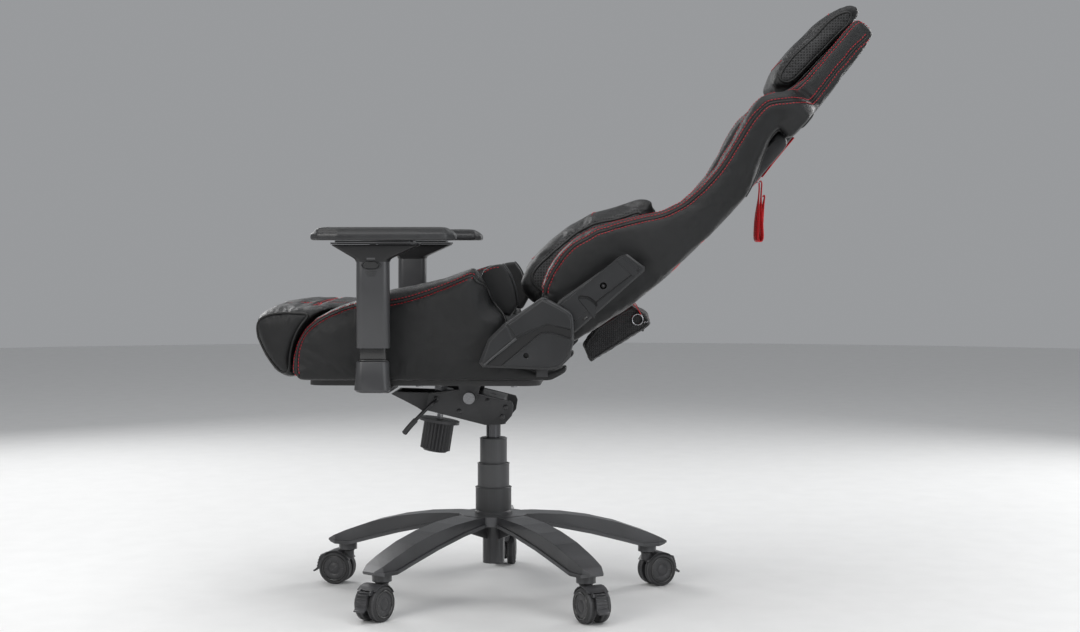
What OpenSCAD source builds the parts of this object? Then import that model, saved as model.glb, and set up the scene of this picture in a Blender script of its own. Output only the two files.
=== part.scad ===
// Reclining bucket-seat gaming chair on a five-star castor base. Millimetres.
// Frame: +Z up, the sitter faces -Y, the sitter's left is +X, origin on the floor below the column.

/* [Main sizes] */
// radius from the column axis to the tip of a base arm
base_r = 350; // [320:5:370]
// radius from the column axis to a castor swivel
socket_r = 313.5; // [290:0.5:330]
// castor wheel radius
wheel_r = 32; // [25:0.5:32]
// half width of the seat and back shells
half_w = 262; // [240:1:262]
// distance from the middle plane to an armrest column
arm_x = 305; // [305:1:320]
// length of an armrest pad
pad_len = 255; // [220:5:270]
// width of an armrest pad
pad_w = 100; // [80:2:104]
// lean of the backrest from straight up in the drawn pose
lean = 44; // [30:1:50]

/* [Column] */
// radius of the polished lift rod
rod_r = 14; // [12:0.5:14]
// radius of the lift's outer tube above the hub
tube_r = 22; // [20:0.5:22]
// outer radii of the three telescopic sleeves, from the bottom up
sleeve_r = [34.5, 30.5, 26]; // the lowest is the widest
// heights where the sleeves show: hub, first step, second step, top
sleeve_z = [157, 209, 255, 304]; // each above the last

/* [Fits] */
// radial clearance of a shaft in its bore
bore_gap = 0.05; // [0.02:0.01:0.1]
// gap between parts that move past each other
gap = 0.5; // [0.4:0.1:1]

/* [Hidden] */
$fn = 64;
wall = 2;
pivot_y = 105;
pivot_z = 512;
pin_r = 10;
stem_r = 5.5;
trail = 22;
caster_angles = [36, 108, 180, 252, 324];
caster_headings = [30, 120, 180, -100, -30];
tilt_y = -40;
tilt_z = 386;
arm_y = -191.5;
strap_y = 511.6;
strap_z = 794.5;

// ---------- helpers ----------

// a [Y, Z] outline carried along X from x0 to x1
module side(x0, x1, pts) {
    translate([x0, 0, 0])
        rotate([90, 0, 90])
            linear_extrude(x1 - x0)
                polygon(pts);
}

// an [X, Z] outline carried along Y from y0 to y1
module front(y0, y1, pts) {
    translate([0, y1, 0])
        rotate([90, 0, 0])
            linear_extrude(y1 - y0)
                polygon(pts);
}

// a cylinder along X
module bar_x(x0, x1, r) {
    translate([x0, 0, 0])
        rotate([0, 90, 0])
            cylinder(h = x1 - x0, r = r);
}

// the backrest's own upright frame, hung on the recline pivot
module back_frame_at() {
    translate([0, pivot_y, pivot_z])
        rotate([-lean, 0, 0])
            children();
}

module box(x, y, z) {
    translate([x[0], y[0], z[0]])
        cube([x[1] - x[0], y[1] - y[0], z[1] - z[0]]);
}

module rounded_slab(x, y, z, r) {
    translate([x[0] + r, y[0], z[0]])
        cube([x[1] - x[0] - 2 * r, y[1] - y[0], z[1] - z[0]]);
    translate([x[0], y[0] + r, z[0]])
        cube([x[1] - x[0], y[1] - y[0] - 2 * r, z[1] - z[0]]);
    for (px = [x[0] + r, x[1] - r], py = [y[0] + r, y[1] - r])
        translate([px, py, z[0]])
            cylinder(h = z[1] - z[0], r = r);
}

// ---------- base ----------

arm_top = [[350, 90], [335, 98], [307, 110], [250, 130.5], [195, 144], [140, 152.5], [85, 156.4], [50, 156.4]];
arm_low = [[50, 140], [119, 128.8], [190, 112.8], [255, 94.8], [300, 81.8], [331, 81.8], [350, 86]];
arm_rim = [[50, 139], [119, 128], [190, 112], [255, 94], [300, 81], [331, 81], [346, 84],
    [346, 89], [331, 88], [300, 88], [255, 101], [190, 119], [119, 135], [50, 146]];
channel = [[62, 60], [62, 144.2], [119, 135.2], [190, 119.2], [255, 101.2], [292, 91], [292, 60]];

module arm_plan(extra) {
    translate([0, 0, 60])
        linear_extrude(110)
            polygon([[50, -29 - extra], [290, -24 - extra], [332, -21 - extra], [350, -13], [350, 13],
                [332, 21 + extra], [290, 24 + extra], [50, 29 + extra]]);
}

module base_arm() {
    intersection() {
        front(-45, 45, concat(arm_top, arm_low));
        arm_plan(0);
    }
    intersection() {
        front(-45, 45, arm_rim);
        arm_plan(2.5);
    }
    translate([socket_r, 0, 69])
        cylinder(h = 25, r = 18);
}

// webs under an arm: one along it at the hub, three across it
module arm_webs() {
    front(-1.5, 1.5, [[19.5, 108], [68, 124], [68, 152], [19.5, 152]]);
    for (r = [110, 165, 220])
        front(-20, 20, [[r, 133 - (r - 110) * 0.26], [r + 3, 133 - (r - 110) * 0.26],
            [r + 3, 151 - (r - 110) * 0.125], [r, 151 - (r - 110) * 0.125]]);
}

module star_base() color([0.23, 0.23, 0.24])
    difference() {
        union() {
            difference() {
                union() {
                    translate([0, 0, 138.3])
                        cylinder(h = 18.7, r = 66);
                    for (a = caster_angles)
                        rotate([0, 0, a])
                            base_arm();
                }
                translate([0, 0, 60])
                    cylinder(h = 89, r = 60);
                for (a = caster_angles)
                    rotate([0, 0, a])
                        front(-19, 19, channel);
            }
            translate([0, 0, 61])
                cylinder(h = 92, r = 21);
            for (a = caster_angles)
                rotate([0, 0, a])
                    arm_webs();
        }
        translate([0, 0, 55])
            cylinder(h = 110, r = 18.5);
        for (a = caster_angles)
            rotate([0, 0, a])
                translate([socket_r, 0, 60])
                    cylinder(h = 38, r = stem_r + bore_gap);
    }

module gas_tube() color([0.1, 0.1, 0.11])
    difference() {
        union() {
            translate([0, 0, 62])
                cylinder(h = 96, r = 18.5);
            translate([0, 0, 157])
                cylinder(h = 93, r = tube_r);
        }
        translate([0, 0, 66])
            cylinder(h = 162, r = 16.5);
        translate([0, 0, 220])
            cylinder(h = 40, r = rod_r + bore_gap);
    }

module sleeve(r, z0, z1) {
    rotate_extrude()
        polygon([[r - wall, z0], [r, z0], [r, z1 - 1.5], [r - 1.5, z1], [r - wall, z1]]);
}

module cover_lower() color([0.25, 0.25, 0.26])
    rotate_extrude()
        polygon([[23, sleeve_z[0]], [36, sleeve_z[0]], [36, 162], [sleeve_r[0], 163.5],
            [sleeve_r[0], sleeve_z[1] - 1.5], [sleeve_r[0] - 1.5, sleeve_z[1]],
            [sleeve_r[0] - wall, sleeve_z[1]], [sleeve_r[0] - wall, 160], [23, 160]]);

module cover_middle() color([0.25, 0.25, 0.26])
    sleeve(sleeve_r[1], 184, sleeve_z[2]);

module cover_upper() color([0.25, 0.25, 0.26])
    rotate_extrude()
        polygon([[sleeve_r[2] - wall, 226], [sleeve_r[2], 226], [sleeve_r[2], sleeve_z[3] - 2],
            [sleeve_r[2] - 2, sleeve_z[3]], [rod_r + 1.5, sleeve_z[3]], [rod_r + 1.5, 301],
            [sleeve_r[2] - wall, 301]]);

module gas_piston() color([0.12, 0.12, 0.13]) {
    translate([0, 0, 130])
        cylinder(h = 240, r = rod_r);
    translate([0, 0, 370])
        cylinder(h = 8, r = 6);
}

// ---------- castors, drawn with the trail along +X ----------

module caster_at(i) {
    rotate([0, 0, caster_angles[i]])
        translate([socket_r, 0, 0])
            rotate([0, 0, caster_headings[i] - caster_angles[i]])
                children();
}

module caster_arc(r0, r1, a0, a1, y) {
    n = 6;
    step = (a1 - a0) / n;
    translate([trail, 0, wheel_r])
        front(-y, y, concat([for (k = [0:n]) [r1 * cos(a0 + k * step), r1 * sin(a0 + k * step)]],
            [for (k = [n:-1:0]) [r0 * cos(a0 + k * step), r0 * sin(a0 + k * step)]]));
}

module caster_housing(i) color([0.09, 0.09, 0.1])
    caster_at(i)
        difference() {
            union() {
                translate([0, 0, 60])
                    cylinder(h = 37, r = stem_r);
                translate([0, 0, 52])
                    cylinder(h = 15, r = 12);
                caster_arc(wheel_r + 1.6, wheel_r + 3.4, 48, 150, 21);
                caster_arc(20, wheel_r + 2, 48, 150, 4.5);
                translate([trail, 4.5, wheel_r])
                    rotate([90, 0, 0])
                        cylinder(h = 9, r = 22);
                for (y = [-15, 11.4])
                    front(y, y + 3.6, [[40, 61], [44, 60], [53, 57], [54, 51.5], [50, 50.5], [47, 53.5], [43, 57.5]]);
            }
            translate([trail, 10, wheel_r])
                rotate([90, 0, 0])
                    cylinder(h = 20, r = 3.06);
            translate([50.5, 20, 53.8])
                rotate([90, 0, 0])
                    cylinder(h = 40, r = 1.55);
            for (s = [-1, 1])
                translate([trail, s * 14 + 8, wheel_r])
                    rotate([90, 0, 0])
                        cylinder(h = 16, r = wheel_r + 0.7);
        }

module caster_wheels(i) color([0.12, 0.12, 0.13])
    caster_at(i)
        translate([trail, 0, wheel_r])
            for (s = [0, 180])
                rotate([s - 90, 0, 0])
                    rotate_extrude()
                        polygon([[0, 0], [3, 0], [3, 6.5], [wheel_r - 2, 6.5], [wheel_r, 8.5], [wheel_r, 20],
                            [wheel_r - 3, 23], [wheel_r - 5, 23], [wheel_r - 6, 21.5], [0, 21.5]]);

module caster_brake(i) color([0.1, 0.1, 0.11])
    caster_at(i) {
        front(-11, 11, [[47.6, 55.8], [51, 57.5], [57, 51], [60.5, 40], [61.5, 31], [68.5, 25], [67, 22],
            [58, 28], [56.4, 38], [53.6, 47], [50, 51.5]]);
        translate([50.5, 15, 53.8])
            rotate([90, 0, 0])
                cylinder(h = 30, r = 1.5);
    }

module caster_1_housing() caster_housing(0);
module caster_2_housing() caster_housing(1);
module caster_3_housing() caster_housing(2);
module caster_4_housing() caster_housing(3);
module caster_5_housing() caster_housing(4);
module caster_1_wheels() caster_wheels(0);
module caster_2_wheels() caster_wheels(1);
module caster_3_wheels() caster_wheels(2);
module caster_4_wheels() caster_wheels(3);
module caster_5_wheels() caster_wheels(4);
module caster_1_brake() caster_brake(0);
module caster_2_brake() caster_brake(1);
module caster_3_brake() caster_brake(2);
module caster_4_brake() caster_brake(3);
module caster_5_brake() caster_brake(4);

// ---------- tilt mechanism ----------

module mechanism_housing() color([0.07, 0.07, 0.08])
    difference() {
        union() {
            side(-70, 70, [[-124, 362], [-118, 394], [-58, 402], [40, 378], [43, 371], [40, 352],
                [26, 336], [-11, 334], [-59, 346]]);
            side(-52, 52, [[-192, 391], [-186, 395], [-117, 393], [-117, 362], [-129, 357], [-143, 366], [-166, 378]]);
            translate([0, 0, 330])
                cylinder(h = 20, r = 24);
        }
        // open top, one bay each side of the column block
        side(-66, 66, [[-112, 366], [-112, 410], [-26, 410], [-26, 350], [-56, 352]]);
        side(-66, 66, [[24, 346], [24, 390], [60, 390], [60, 346]]);
        side(-47, 47, [[-182, 390], [-182, 400], [-110, 400], [-110, 372], [-140, 374]]);
        translate([0, 0, 320])
            cylinder(h = 52, r = rod_r + bore_gap);
        translate([0, 0, 330])
            cylinder(h = 80, r = 6 + bore_gap);
        translate([0, tilt_y, tilt_z])
            bar_x(-90, 90, 8 + bore_gap);
        translate([60, -105, 380])
            bar_x(0, 20, 4 + bore_gap);
        translate([0, -104, 340])
            rotate([-9, 0, 0])
                translate([0, 0, -10])
                    cylinder(h = 80, r = 6 + bore_gap);
    }

module tilt_shaft() color([0.55, 0.55, 0.57])
    translate([0, tilt_y, tilt_z]) {
        bar_x(-86, 86, 8);
        for (x = [-90, 86])
            bar_x(x, x + 4, 11);
    }

module tension_spring() color([0.3, 0.3, 0.32])
    translate([0, -104, 340])
        rotate([-9, 0, 0]) {
            translate([0, 0, -28])
                cylinder(h = 98, r = 6);
            rotate_extrude()
                polygon([[5, 31], [14, 31], [17, 34], [14, 37], [17, 40], [14, 43], [17, 46], [14, 49],
                    [17, 52], [14, 55], [5, 55]]);
            translate([0, 0, 55])
                cylinder(h = 5, r = 19);
        }

module tension_knob() color([0.08, 0.08, 0.09])
    translate([0, -104, 340])
        rotate([-9, 0, 0])
            difference() {
                union() {
                    translate([0, 0, -7])
                        cylinder(h = 6, r = 39);
                    translate([0, 0, -60])
                        linear_extrude(54)
                            polygon([for (k = [0:71])
                                (k % 3 == 0 ? 26.6 : 29) * [cos(k * 5), sin(k * 5)]]);
                    translate([0, 0, -64])
                        cylinder(h = 4, r1 = 22, r2 = 26);
                }
                translate([0, 0, -30])
                    cylinder(h = 40, r = 6 + bore_gap);
            }

module height_lever() color([0.1, 0.1, 0.11])
    translate([0, -105, 380]) {
        bar_x(60, 98, 4);
        difference() {
            side(94, 102, [[4, 6], [8, 0], [5, -8], [-48, -58], [-58, -62], [-61, -57], [-56, -48], [-10, 4], [-4, 8]]);
            side(90, 94.01, [[-70, -70], [-70, 0], [0, 0], [0, -70]]);
        }
    }

// ---------- seat ----------

module seat_plate() color([0.08, 0.08, 0.09])
    difference() {
        union() {
            box([-95, 95], [-150, 62], [413, 420]);
            for (x = [-82, 76])
                side(x, x + 6, [[-62, 414], [-54, 382], [-46, 374], [-34, 374], [-26, 382], [-18, 414]]);
        }
        translate([0, tilt_y, tilt_z])
            bar_x(-100, 100, 8 + bore_gap);
        box([-50, 50], [-130, 40], [410, 425]);
        for (x = [-80, 80], y = [-135, 45])
            translate([x, y, 400])
                cylinder(h = 30, r = 4.3);
    }

module seat_frame() color([0.1, 0.1, 0.11])
    difference() {
        rounded_slab([-226, 226], [-322, 100], [420.2, 430], 30);
        for (x = [-80, 80], y = [-135, 45])
            translate([x, y, 400])
                cylinder(h = 26, r = 4.3);
    }

module seat_bolts() color([0.3, 0.3, 0.32]) {
    for (x = [-80, 80], y = [-135, 45])
        translate([x, y, 0]) {
            translate([0, 0, 407])
                cylinder(h = 6, r = 7, $fn = 6);
            translate([0, 0, 413])
                cylinder(h = 12, r = 4);
        }
    for (s = [-1, 1], x = [175, 213])
        translate([s * x, arm_y, 405.8])
            cylinder(h = 6, r = 7, $fn = 6);
}

cushion_low = [[-408, 474], [-389, 446], [-368, 431], [52, 431], [52, 524], [44, 534]];
module seat_cushion() color([0.07, 0.07, 0.07]) {
    side(-164, 164, concat(cushion_low, [[-40, 546], [-150, 558], [-298, 566], [-354, 564], [-401, 557],
        [-420, 548], [-425, 531], [-421, 506]]));
    for (s = [-1, 1])
        side(s * 198.5 - 36, s * 198.5 + 34, [[-400, 480], [-384, 452], [-366, 436], [-352, 433], [-351, 450],
            [-349, 474], [-341, 506], [-326, 531], [-305, 550], [-288, 559], [-300, 563], [-354, 559], [-372, 554],
            [-398, 545], [-409, 526], [-406, 500]]);
}

// the side bolster in steps: welt on the outer face, crown, then the roll towards the cushion
crown = [[-17, 636], [-34, 630], [-73, 615], [-122, 603], [-167, 595], [-228, 576], [-270, 561], [-300, 544],
    [-320, 526], [-335, 502], [-343, 472], [-346, 447]];
side_foot = [[-333, 431], [121, 432], [148, 447], [152, 462], [128, 452], [100, 449], [75, 458], [56, 475],
    [44, 500], [40, 530], [37, 547], [15, 571], [0, 605]];
module seat_side_half() {
    side(half_w - 42, half_w - 8, concat(side_foot, crown));
    side(half_w - 8, half_w, concat([[-325, 431], [121, 432], [148, 447], [152, 462], [128, 452], [100, 449],
        [75, 458], [56, 475], [44, 500], [40, 530], [34, 543], [10, 567], [-12, 618]],
        [for (p = crown) if (p[0] < -30) p + [8, -9]]));
    side(200, half_w - 42, concat([[-333, 431], [30, 431], [38, 500], [37, 547], [15, 571], [-2, 600]],
        [for (p = crown) p + [2, -5]]));
    side(164.5, 200, concat([[-326, 431], [52.5, 431], [52.5, 500], [37, 547], [15, 560], [-6, 590]],
        [for (p = crown) p + [6, -18]]));
    side(168, 198, [[-30, 560], [-5, 628], [28, 640], [42, 624], [53, 596], [58, 566], [45, 545]]);
}

module seat_side_left() color([0.07, 0.07, 0.07])
    difference() {
        seat_side_half();
        side(260, 270, [[-10, 440], [-10, 520], [30, 545], [30, 440]]);
    }

module seat_side_right() color([0.07, 0.07, 0.07])
    mirror([1, 0, 0])
        difference() {
            seat_side_half();
            side(260, 270, [[-10, 440], [-10, 520], [30, 545], [30, 440]]);
        }

cover_line = [[-5, 467], [2, 459], [119, 454], [139, 458], [156, 475], [163, 504], [163, 543], [156, 558],
    [122, 577], [107, 583], [41, 538], [12, 509]];
module hinge_cover_half()
    difference() {
        union() {
            side(287, 297, cover_line);
            side(297, 301, [[6, 472], [14, 468], [118, 464], [134, 468], [147, 482], [153, 506], [153, 540],
                [140, 557], [112, 572], [48, 530], [22, 506]]);
            side(271, 287, [[-5, 467], [2, 459], [119, 454], [139, 458], [142, 462], [117, 460], [6, 465],
                [2, 470], [16, 504], [43, 533], [41, 538], [12, 509]]);
        }
        translate([0, 79, 480])
            bar_x(280, 310, 4.5);
    }

module hinge_cover_left() color([0.1, 0.1, 0.105])
    hinge_cover_half();

module hinge_cover_right() color([0.1, 0.1, 0.105])
    mirror([1, 0, 0])
        hinge_cover_half();

module recliner_half() {
    difference() {
        union() {
            side(264, 270, [[20, 470], [30, 462], [120, 457], [134, 470], [136, 505], [128, 532], [105, 542],
                [80, 532], [60, 505], [24, 496]]);
            side(264, 270, [[96, 440], [116, 440], [116, 462], [96, 462]]);
        }
        translate([0, pivot_y, pivot_z])
            bar_x(260, 300, pin_r + bore_gap);
    }
    translate([0, 79, 480])
        bar_x(270, 290, 4.2);
    side(262.3, 264, [[28, 468], [38, 464], [70, 462], [66, 476], [52, 488], [28, 490]]);
}

module recliner_plates() color([0.3, 0.3, 0.31]) {
    recliner_half();
    mirror([1, 0, 0])
        recliner_half();
}

module recline_lever() color([0.08, 0.08, 0.09])
    translate([0, 35, 492])
        difference() {
            union() {
                translate([-315, 0, 0])
                    rotate([0, 90, 0])
                        cylinder(h = 12, r = 15);
                side(-315, -306, [[6, 13], [-10, 14], [-70, 34], [-110, 42], [-124, 38], [-126, 26],
                    [-112, 22], [-66, 14], [-14, -8]]);
                side(-321, -315, [[-60, 26], [-110, 39], [-121, 36], [-123, 28], [-112, 25], [-70, 17]]);
            }
            bar_x(-320, -300, 5 + bore_gap);
        }

// ---------- armrests ----------

module arm_mount_half()
    difference() {
        union() {
            box([150, 300], [-221, -162], [412, 420]);
            side(288, 322, [[-222, 412], [-164, 412], [-164, 432], [-167, 448], [-167, 470], [-220, 470],
                [-220, 448], [-226, 432], [-226, 420]]);
            box([296, 314], [-215, -168], [460, 625]);
        }
        box([299, 311], [-211, -172], [430, 630]);
        for (x = [175, 213])
            translate([x, arm_y, 400])
                cylinder(h = 30, r = 4.5);
    }

module arm_mount_left() color([0.11, 0.11, 0.12])
    arm_mount_half();
module arm_mount_right() color([0.11, 0.11, 0.12])
    mirror([1, 0, 0])
        arm_mount_half();

module arm_sleeve_half()
    difference() {
        union() {
            rounded_slab([290, 320], [-221, -162], [493, 657], 4);
            side(288, 322, [[-221, 652], [-162, 652], [-158, 658], [-112, 671], [-108, 676], [-264, 676],
                [-260, 671], [-226, 658]]);
        }
        box([295.5, 314.5], [-215.5, -167.5], [480, 648]);
        for (y = [-200.2, -185.8])
            translate([316.6, y, 640])
                rotate([0, 90, 0])
                    cylinder(h = 10, r = 6.2);
        box([316.6, 326], [-200.2, -185.8], [633.8, 646.2]);
        translate([arm_x, arm_y, 660])
            cylinder(h = 30, r = 6.05);
    }

module arm_sleeve_left() color([0.19, 0.19, 0.2])
    arm_sleeve_half();
module arm_sleeve_right() color([0.19, 0.19, 0.2])
    mirror([1, 0, 0])
        arm_sleeve_half();

module arm_button_half()
    union() {
        for (y = [-200.2, -185.8])
            translate([319.5, y, 640])
                rotate([0, 90, 0])
                    cylinder(h = 4.5, r = 5.6);
        box([319.5, 324], [-200.2, -185.8], [634.4, 645.6]);
    }

module arm_button_left() color([0.05, 0.05, 0.05])
    arm_button_half();
module arm_button_right() color([0.05, 0.05, 0.05])
    mirror([1, 0, 0])
        arm_button_half();

module arm_turntable_half() {
    rounded_slab([272, 338], [-264, -108], [676.5, 679.8], 14);
    translate([arm_x, arm_y, 662])
        cylinder(h = 15, r = 6);
}

module arm_turntable_left() color([0.13, 0.13, 0.14])
    arm_turntable_half();
module arm_turntable_right() color([0.13, 0.13, 0.14])
    mirror([1, 0, 0])
        arm_turntable_half();

module arm_cross_half()
    rounded_slab([275, 335], [-256, -118], [680.2, 683.3], 10);

module arm_cross_slide_left() color([0.15, 0.15, 0.16])
    arm_cross_half();
module arm_cross_slide_right() color([0.15, 0.15, 0.16])
    mirror([1, 0, 0])
        arm_cross_half();

// pad in two layers, its ends cut back on top as seen from the side
module arm_pad_half() {
    y0 = -299;
    y1 = y0 + pad_len;
    x0 = arm_x - pad_w / 2;
    x1 = arm_x + pad_w / 2;
    intersection() {
        side(x0, x1, [[y0 + 12, 683.8], [y1 - 30, 683.8], [y1 - 4, 690], [y1, 696], [y1 - 3, 701],
            [y1 - 26, 708], [y0 + 10, 708], [y0 + 2, 704], [y0, 698], [y0 + 1, 690]]);
        translate([0, 0, 680])
            linear_extrude(30)
                polygon([[x0 + 8, y0 + 14], [x0 + 24, y0], [x1 - 24, y0], [x1 - 8, y0 + 14], [x1, y0 + 50],
                    [x1, y1 - 60], [x1 - 12, y1 - 14], [x1 - 28, y1], [x0 + 28, y1], [x0 + 12, y1 - 14],
                    [x0, y1 - 60], [x0, y0 + 50]]);
        front(y0, y1, [[x0 + 5, 683.8], [x1 - 5, 683.8], [x1, 689], [x1, 701], [x1 - 7, 708], [x0 + 7, 708],
            [x0, 701], [x0, 689]]);
    }
}

module arm_pad_left() color([0.16, 0.16, 0.17])
    arm_pad_half();
module arm_pad_right() color([0.16, 0.16, 0.17])
    mirror([1, 0, 0])
        arm_pad_half();

// ---------- backrest, drawn upright in its own frame: [forward is -Y, along the back is +Z] ----------

module back_frame() color([0.12, 0.12, 0.13])
    back_frame_at() {
        side(-172, 172, [[26, 8], [30, 8], [50, 116], [52.5, 200], [52.5, 545], [49, 545], [49, 200], [46.5, 116]]);
        for (z = [290, 525])
            side(-172, 172, [[52, z], [60, z], [60, z + 18], [52, z + 18]]);
        translate([0, 30, 10])
            bar_x(-263, 263, 10);
    }

module back_pad() color([0.07, 0.07, 0.07])
    back_frame_at() {
        side(-199.5, 199.5, [[18, 34], [44, 115], [46, 300], [46, 560], [20, 560], [22, 500], [28, 400],
            [20, 330], [9, 300], [-5, 250], [-30, 120], [-24, 50], [-16, 36]]);
        side(-127.5, 127.5, [[46, 559], [42, 640], [36, 806], [28, 813], [20, 812], [15, 804], [15, 640], [20, 559]]);
    }

wing_front = [[-18, 560], [-12, 530], [2, 479], [12, 435], [16, 400], [12, 350], [-2, 312], [-20, 285], [-46, 243],
    [-68, 202], [-80, 161], [-81, 129], [-75, 94], [-64, 66], [-46, 44]];
wing_back = [[-20, 32], [22, 26], [48, 30], [62, 90], [76, 150], [86, 240], [89, 338], [87, 432], [75, 463],
    [60, 497], [46, 533], [43, 557], [45, 581], [62, 600]];
module back_side_half()
    back_frame_at() {
        side(212, half_w - 10, concat(wing_back, [[60, 626], [40, 632], [15, 618], [-4, 600], [-16, 580]], wing_front));
        side(half_w - 10, half_w, concat([[-16, 36], [22, 30], [44, 34], [58, 92], [72, 152], [81, 240], [84, 338],
            [82, 428], [70, 459], [55, 493], [43, 530], [40, 557], [44, 584], [52, 606], [38, 612], [20, 598], [6, 585]],
            [for (p = wing_front) if (p[0] > -70 || p[1] > 90) p + [9, p[1] < 60 ? 6 : 0]]));
        intersection() {
            side(128, 212, [[72, 560], [72, 627], [66, 705], [60, 770], [52, 808], [44, 814], [14, 816], [8, 808],
                [9, 764], [13, 717], [17, 668], [14, 640], [4, 600], [-6, 560]]);
            front(-40, 100, [[128, 560], [212, 560], [212, 606], [186, 628], [172, 652], [167, 740], [162, 802],
                [150, 816], [128, 816]]);
        }
        side(200, 212, concat([[-12, 36], [22, 30], [48, 34], [62, 92], [76, 152], [86, 240], [89, 338],
            [87, 432], [80, 560], [-6, 560]],
            [for (p = wing_front) if (p[1] < 550) p + [7, p[1] < 60 ? 6 : 0]]));
    }

module back_side_left() color([0.07, 0.07, 0.07])
    back_side_half();
module back_side_right() color([0.07, 0.07, 0.07])
    mirror([1, 0, 0])
        back_side_half();

module rear_panel() color([0.12, 0.12, 0.12])
    back_frame_at() {
        side(-199.5, 199.5, [[50, 70], [56, 70], [68, 113], [78, 164], [84, 219], [88, 277], [89, 338], [88, 373],
            [87, 433], [79, 560], [66, 560], [70, 433], [70, 277], [68, 219], [66, 164], [60, 113]]);
        side(-127.5, 127.5, [[79, 559], [72, 627], [66, 705], [62, 755], [54, 806], [46, 812], [40, 808], [44, 751],
            [56, 627], [66, 559]]);
        for (s = [-1, 1])
            side(s * 188 - 11.5, s * 188 + 11.5, [[47, 455], [47, 559.5], [67, 559.5], [71, 455]]);
    }

module back_strip_half()
    difference() {
        back_frame_at()
            difference() {
                union() {
                    side(271, 283, [[-18, -12], [-6, -19], [10, -18], [24, -6], [38, 50], [50, 212], [46, 217],
                        [8, 212], [4, 207], [-22, 72]]);
                    side(half_w + 0.3, 271, [[-14, 78], [34, 78], [45, 210], [12, 206]]);
                    bar_x(263.5, 285, pin_r);
                }
                translate([0, 16, 142])
                    bar_x(276, 290, 6);
                side(281.4, 290, [[26, 96], [32, 96], [36, 128], [30, 128]]);
            }
    }

module back_strip_left() color([0.11, 0.11, 0.12])
    back_strip_half();
module back_strip_right() color([0.11, 0.11, 0.12])
    mirror([1, 0, 0])
        back_strip_half();

lumbar_line = [[-16, 309], [-26, 316], [-38, 310], [-44, 294], [-64, 256], [-87, 219], [-102, 173], [-109, 120],
    [-110, 63], [-99, 30], [-80, 22], [-45, 26], [-32, 50], [-37, 120], [-12, 250], [0, 296]];
module lumbar_pillow() color([0.08, 0.08, 0.08])
    back_frame_at() {
        side(-142, 142, lumbar_line);
        for (s = [-1, 1])
            side(s * 148 - 6, s * 148 + 6, [for (p = lumbar_line)
                [-45 + (p[0] + 45) * 0.6, 168 + (p[1] - 168) * 0.9]]);
    }

head_line = [[14, 640], [14, 800], [8, 834], [-2, 836], [-15, 831], [-24, 815], [-31, 790], [-35, 766], [-36, 690],
    [-32, 650], [-26, 628], [-19, 616], [-6, 618]];
module head_pillow() color([0.08, 0.08, 0.08])
    back_frame_at() {
        side(-108, 108, head_line);
        for (s = [-1, 1])
            side(s * 114 - 6, s * 114 + 6, [for (p = head_line)
                [-8 + (p[0] + 8) * 0.7, 726 + (p[1] - 726) * 0.9]]);
    }

module rear_pouch() color([0.06, 0.06, 0.06])
    back_frame_at()
        side(-70, 70, [[62, 78], [66, 30], [101, 14], [112, 56], [134, 147], [112, 156], [82, 150]]);

// webbing sewn to the rear with a wire bar for the loose strap, and a ring held by webbing at each side of the pouch
module strap_anchor() color([0.75, 0.05, 0.05]) {
    back_frame_at() {
        side(-10, 10, [[81, 545], [92.2, 492], [94.2, 492], [83, 546]]);
        for (s = [-1, 1]) {
            side(s * 66 - 10, s * 66 + 10, [[59.6, 80.5], [60.6, 80], [80.4, 150.4], [79.4, 150.9]]);
            side(s * 72.2 - 1.4, s * 72.2 + 1.4, [[79.6, 150.8], [80, 149.2], [107, 144.6], [108, 147]]);
            translate([s * 72.2, 108, 136])
                rotate([0, 90, 0])
                    rotate_extrude()
                        translate([10, 0, 0])
                            circle(r = 1.8);
        }
    }
    translate([0, strap_y, strap_z])
        bar_x(-9, 9, 1.4);
    for (x = [-10, 8.2])
        side(x, x + 1.8, [[512, 803.5], [515, 802.5], [514.5, 795], [513, 792.2], [510.2, 792.2], [508.8, 795],
            [509.5, 799]]);
}

module red_strap() color([0.8, 0.05, 0.05])
    difference() {
        union() {
            translate([0, strap_y, strap_z])
                bar_x(-7.8, 7.8, 3.2);
            side(-7.8, 7.8, [[508.4, strap_z], [514.8, strap_z], [514.8, 788], [508.4, 788]]);
            side(-10, 10, [[508.4, 790.6], [514.8, 790.6], [514.6, 770], [515, 684], [512, 680], [504, 680],
                [501, 684], [503, 765], [507, 782]]);
        }
        translate([0, strap_y, strap_z])
            bar_x(-12, 12, 1.4 + bore_gap);
    }

star_base();
gas_tube();
cover_lower();
cover_middle();
cover_upper();
gas_piston();
caster_1_housing();
caster_1_wheels();
caster_1_brake();
caster_2_housing();
caster_2_wheels();
caster_2_brake();
caster_3_housing();
caster_3_wheels();
caster_3_brake();
caster_4_housing();
caster_4_wheels();
caster_4_brake();
caster_5_housing();
caster_5_wheels();
caster_5_brake();
mechanism_housing();
tilt_shaft();
tension_spring();
tension_knob();
height_lever();
seat_plate();
seat_frame();
seat_bolts();
seat_cushion();
seat_side_left();
seat_side_right();
hinge_cover_left();
hinge_cover_right();
recliner_plates();
recline_lever();
arm_mount_left();
arm_sleeve_left();
arm_button_left();
arm_turntable_left();
arm_cross_slide_left();
arm_pad_left();
arm_mount_right();
arm_sleeve_right();
arm_button_right();
arm_turntable_right();
arm_cross_slide_right();
arm_pad_right();
back_frame();
back_pad();
back_side_left();
back_side_right();
rear_panel();
back_strip_left();
back_strip_right();
lumbar_pillow();
head_pillow();
rear_pouch();
strap_anchor();
red_strap();
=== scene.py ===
import math
import bpy
import bmesh
import numpy as np
from mathutils import Matrix, Vector, noise
from mathutils.bvhtree import BVHTree


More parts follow.
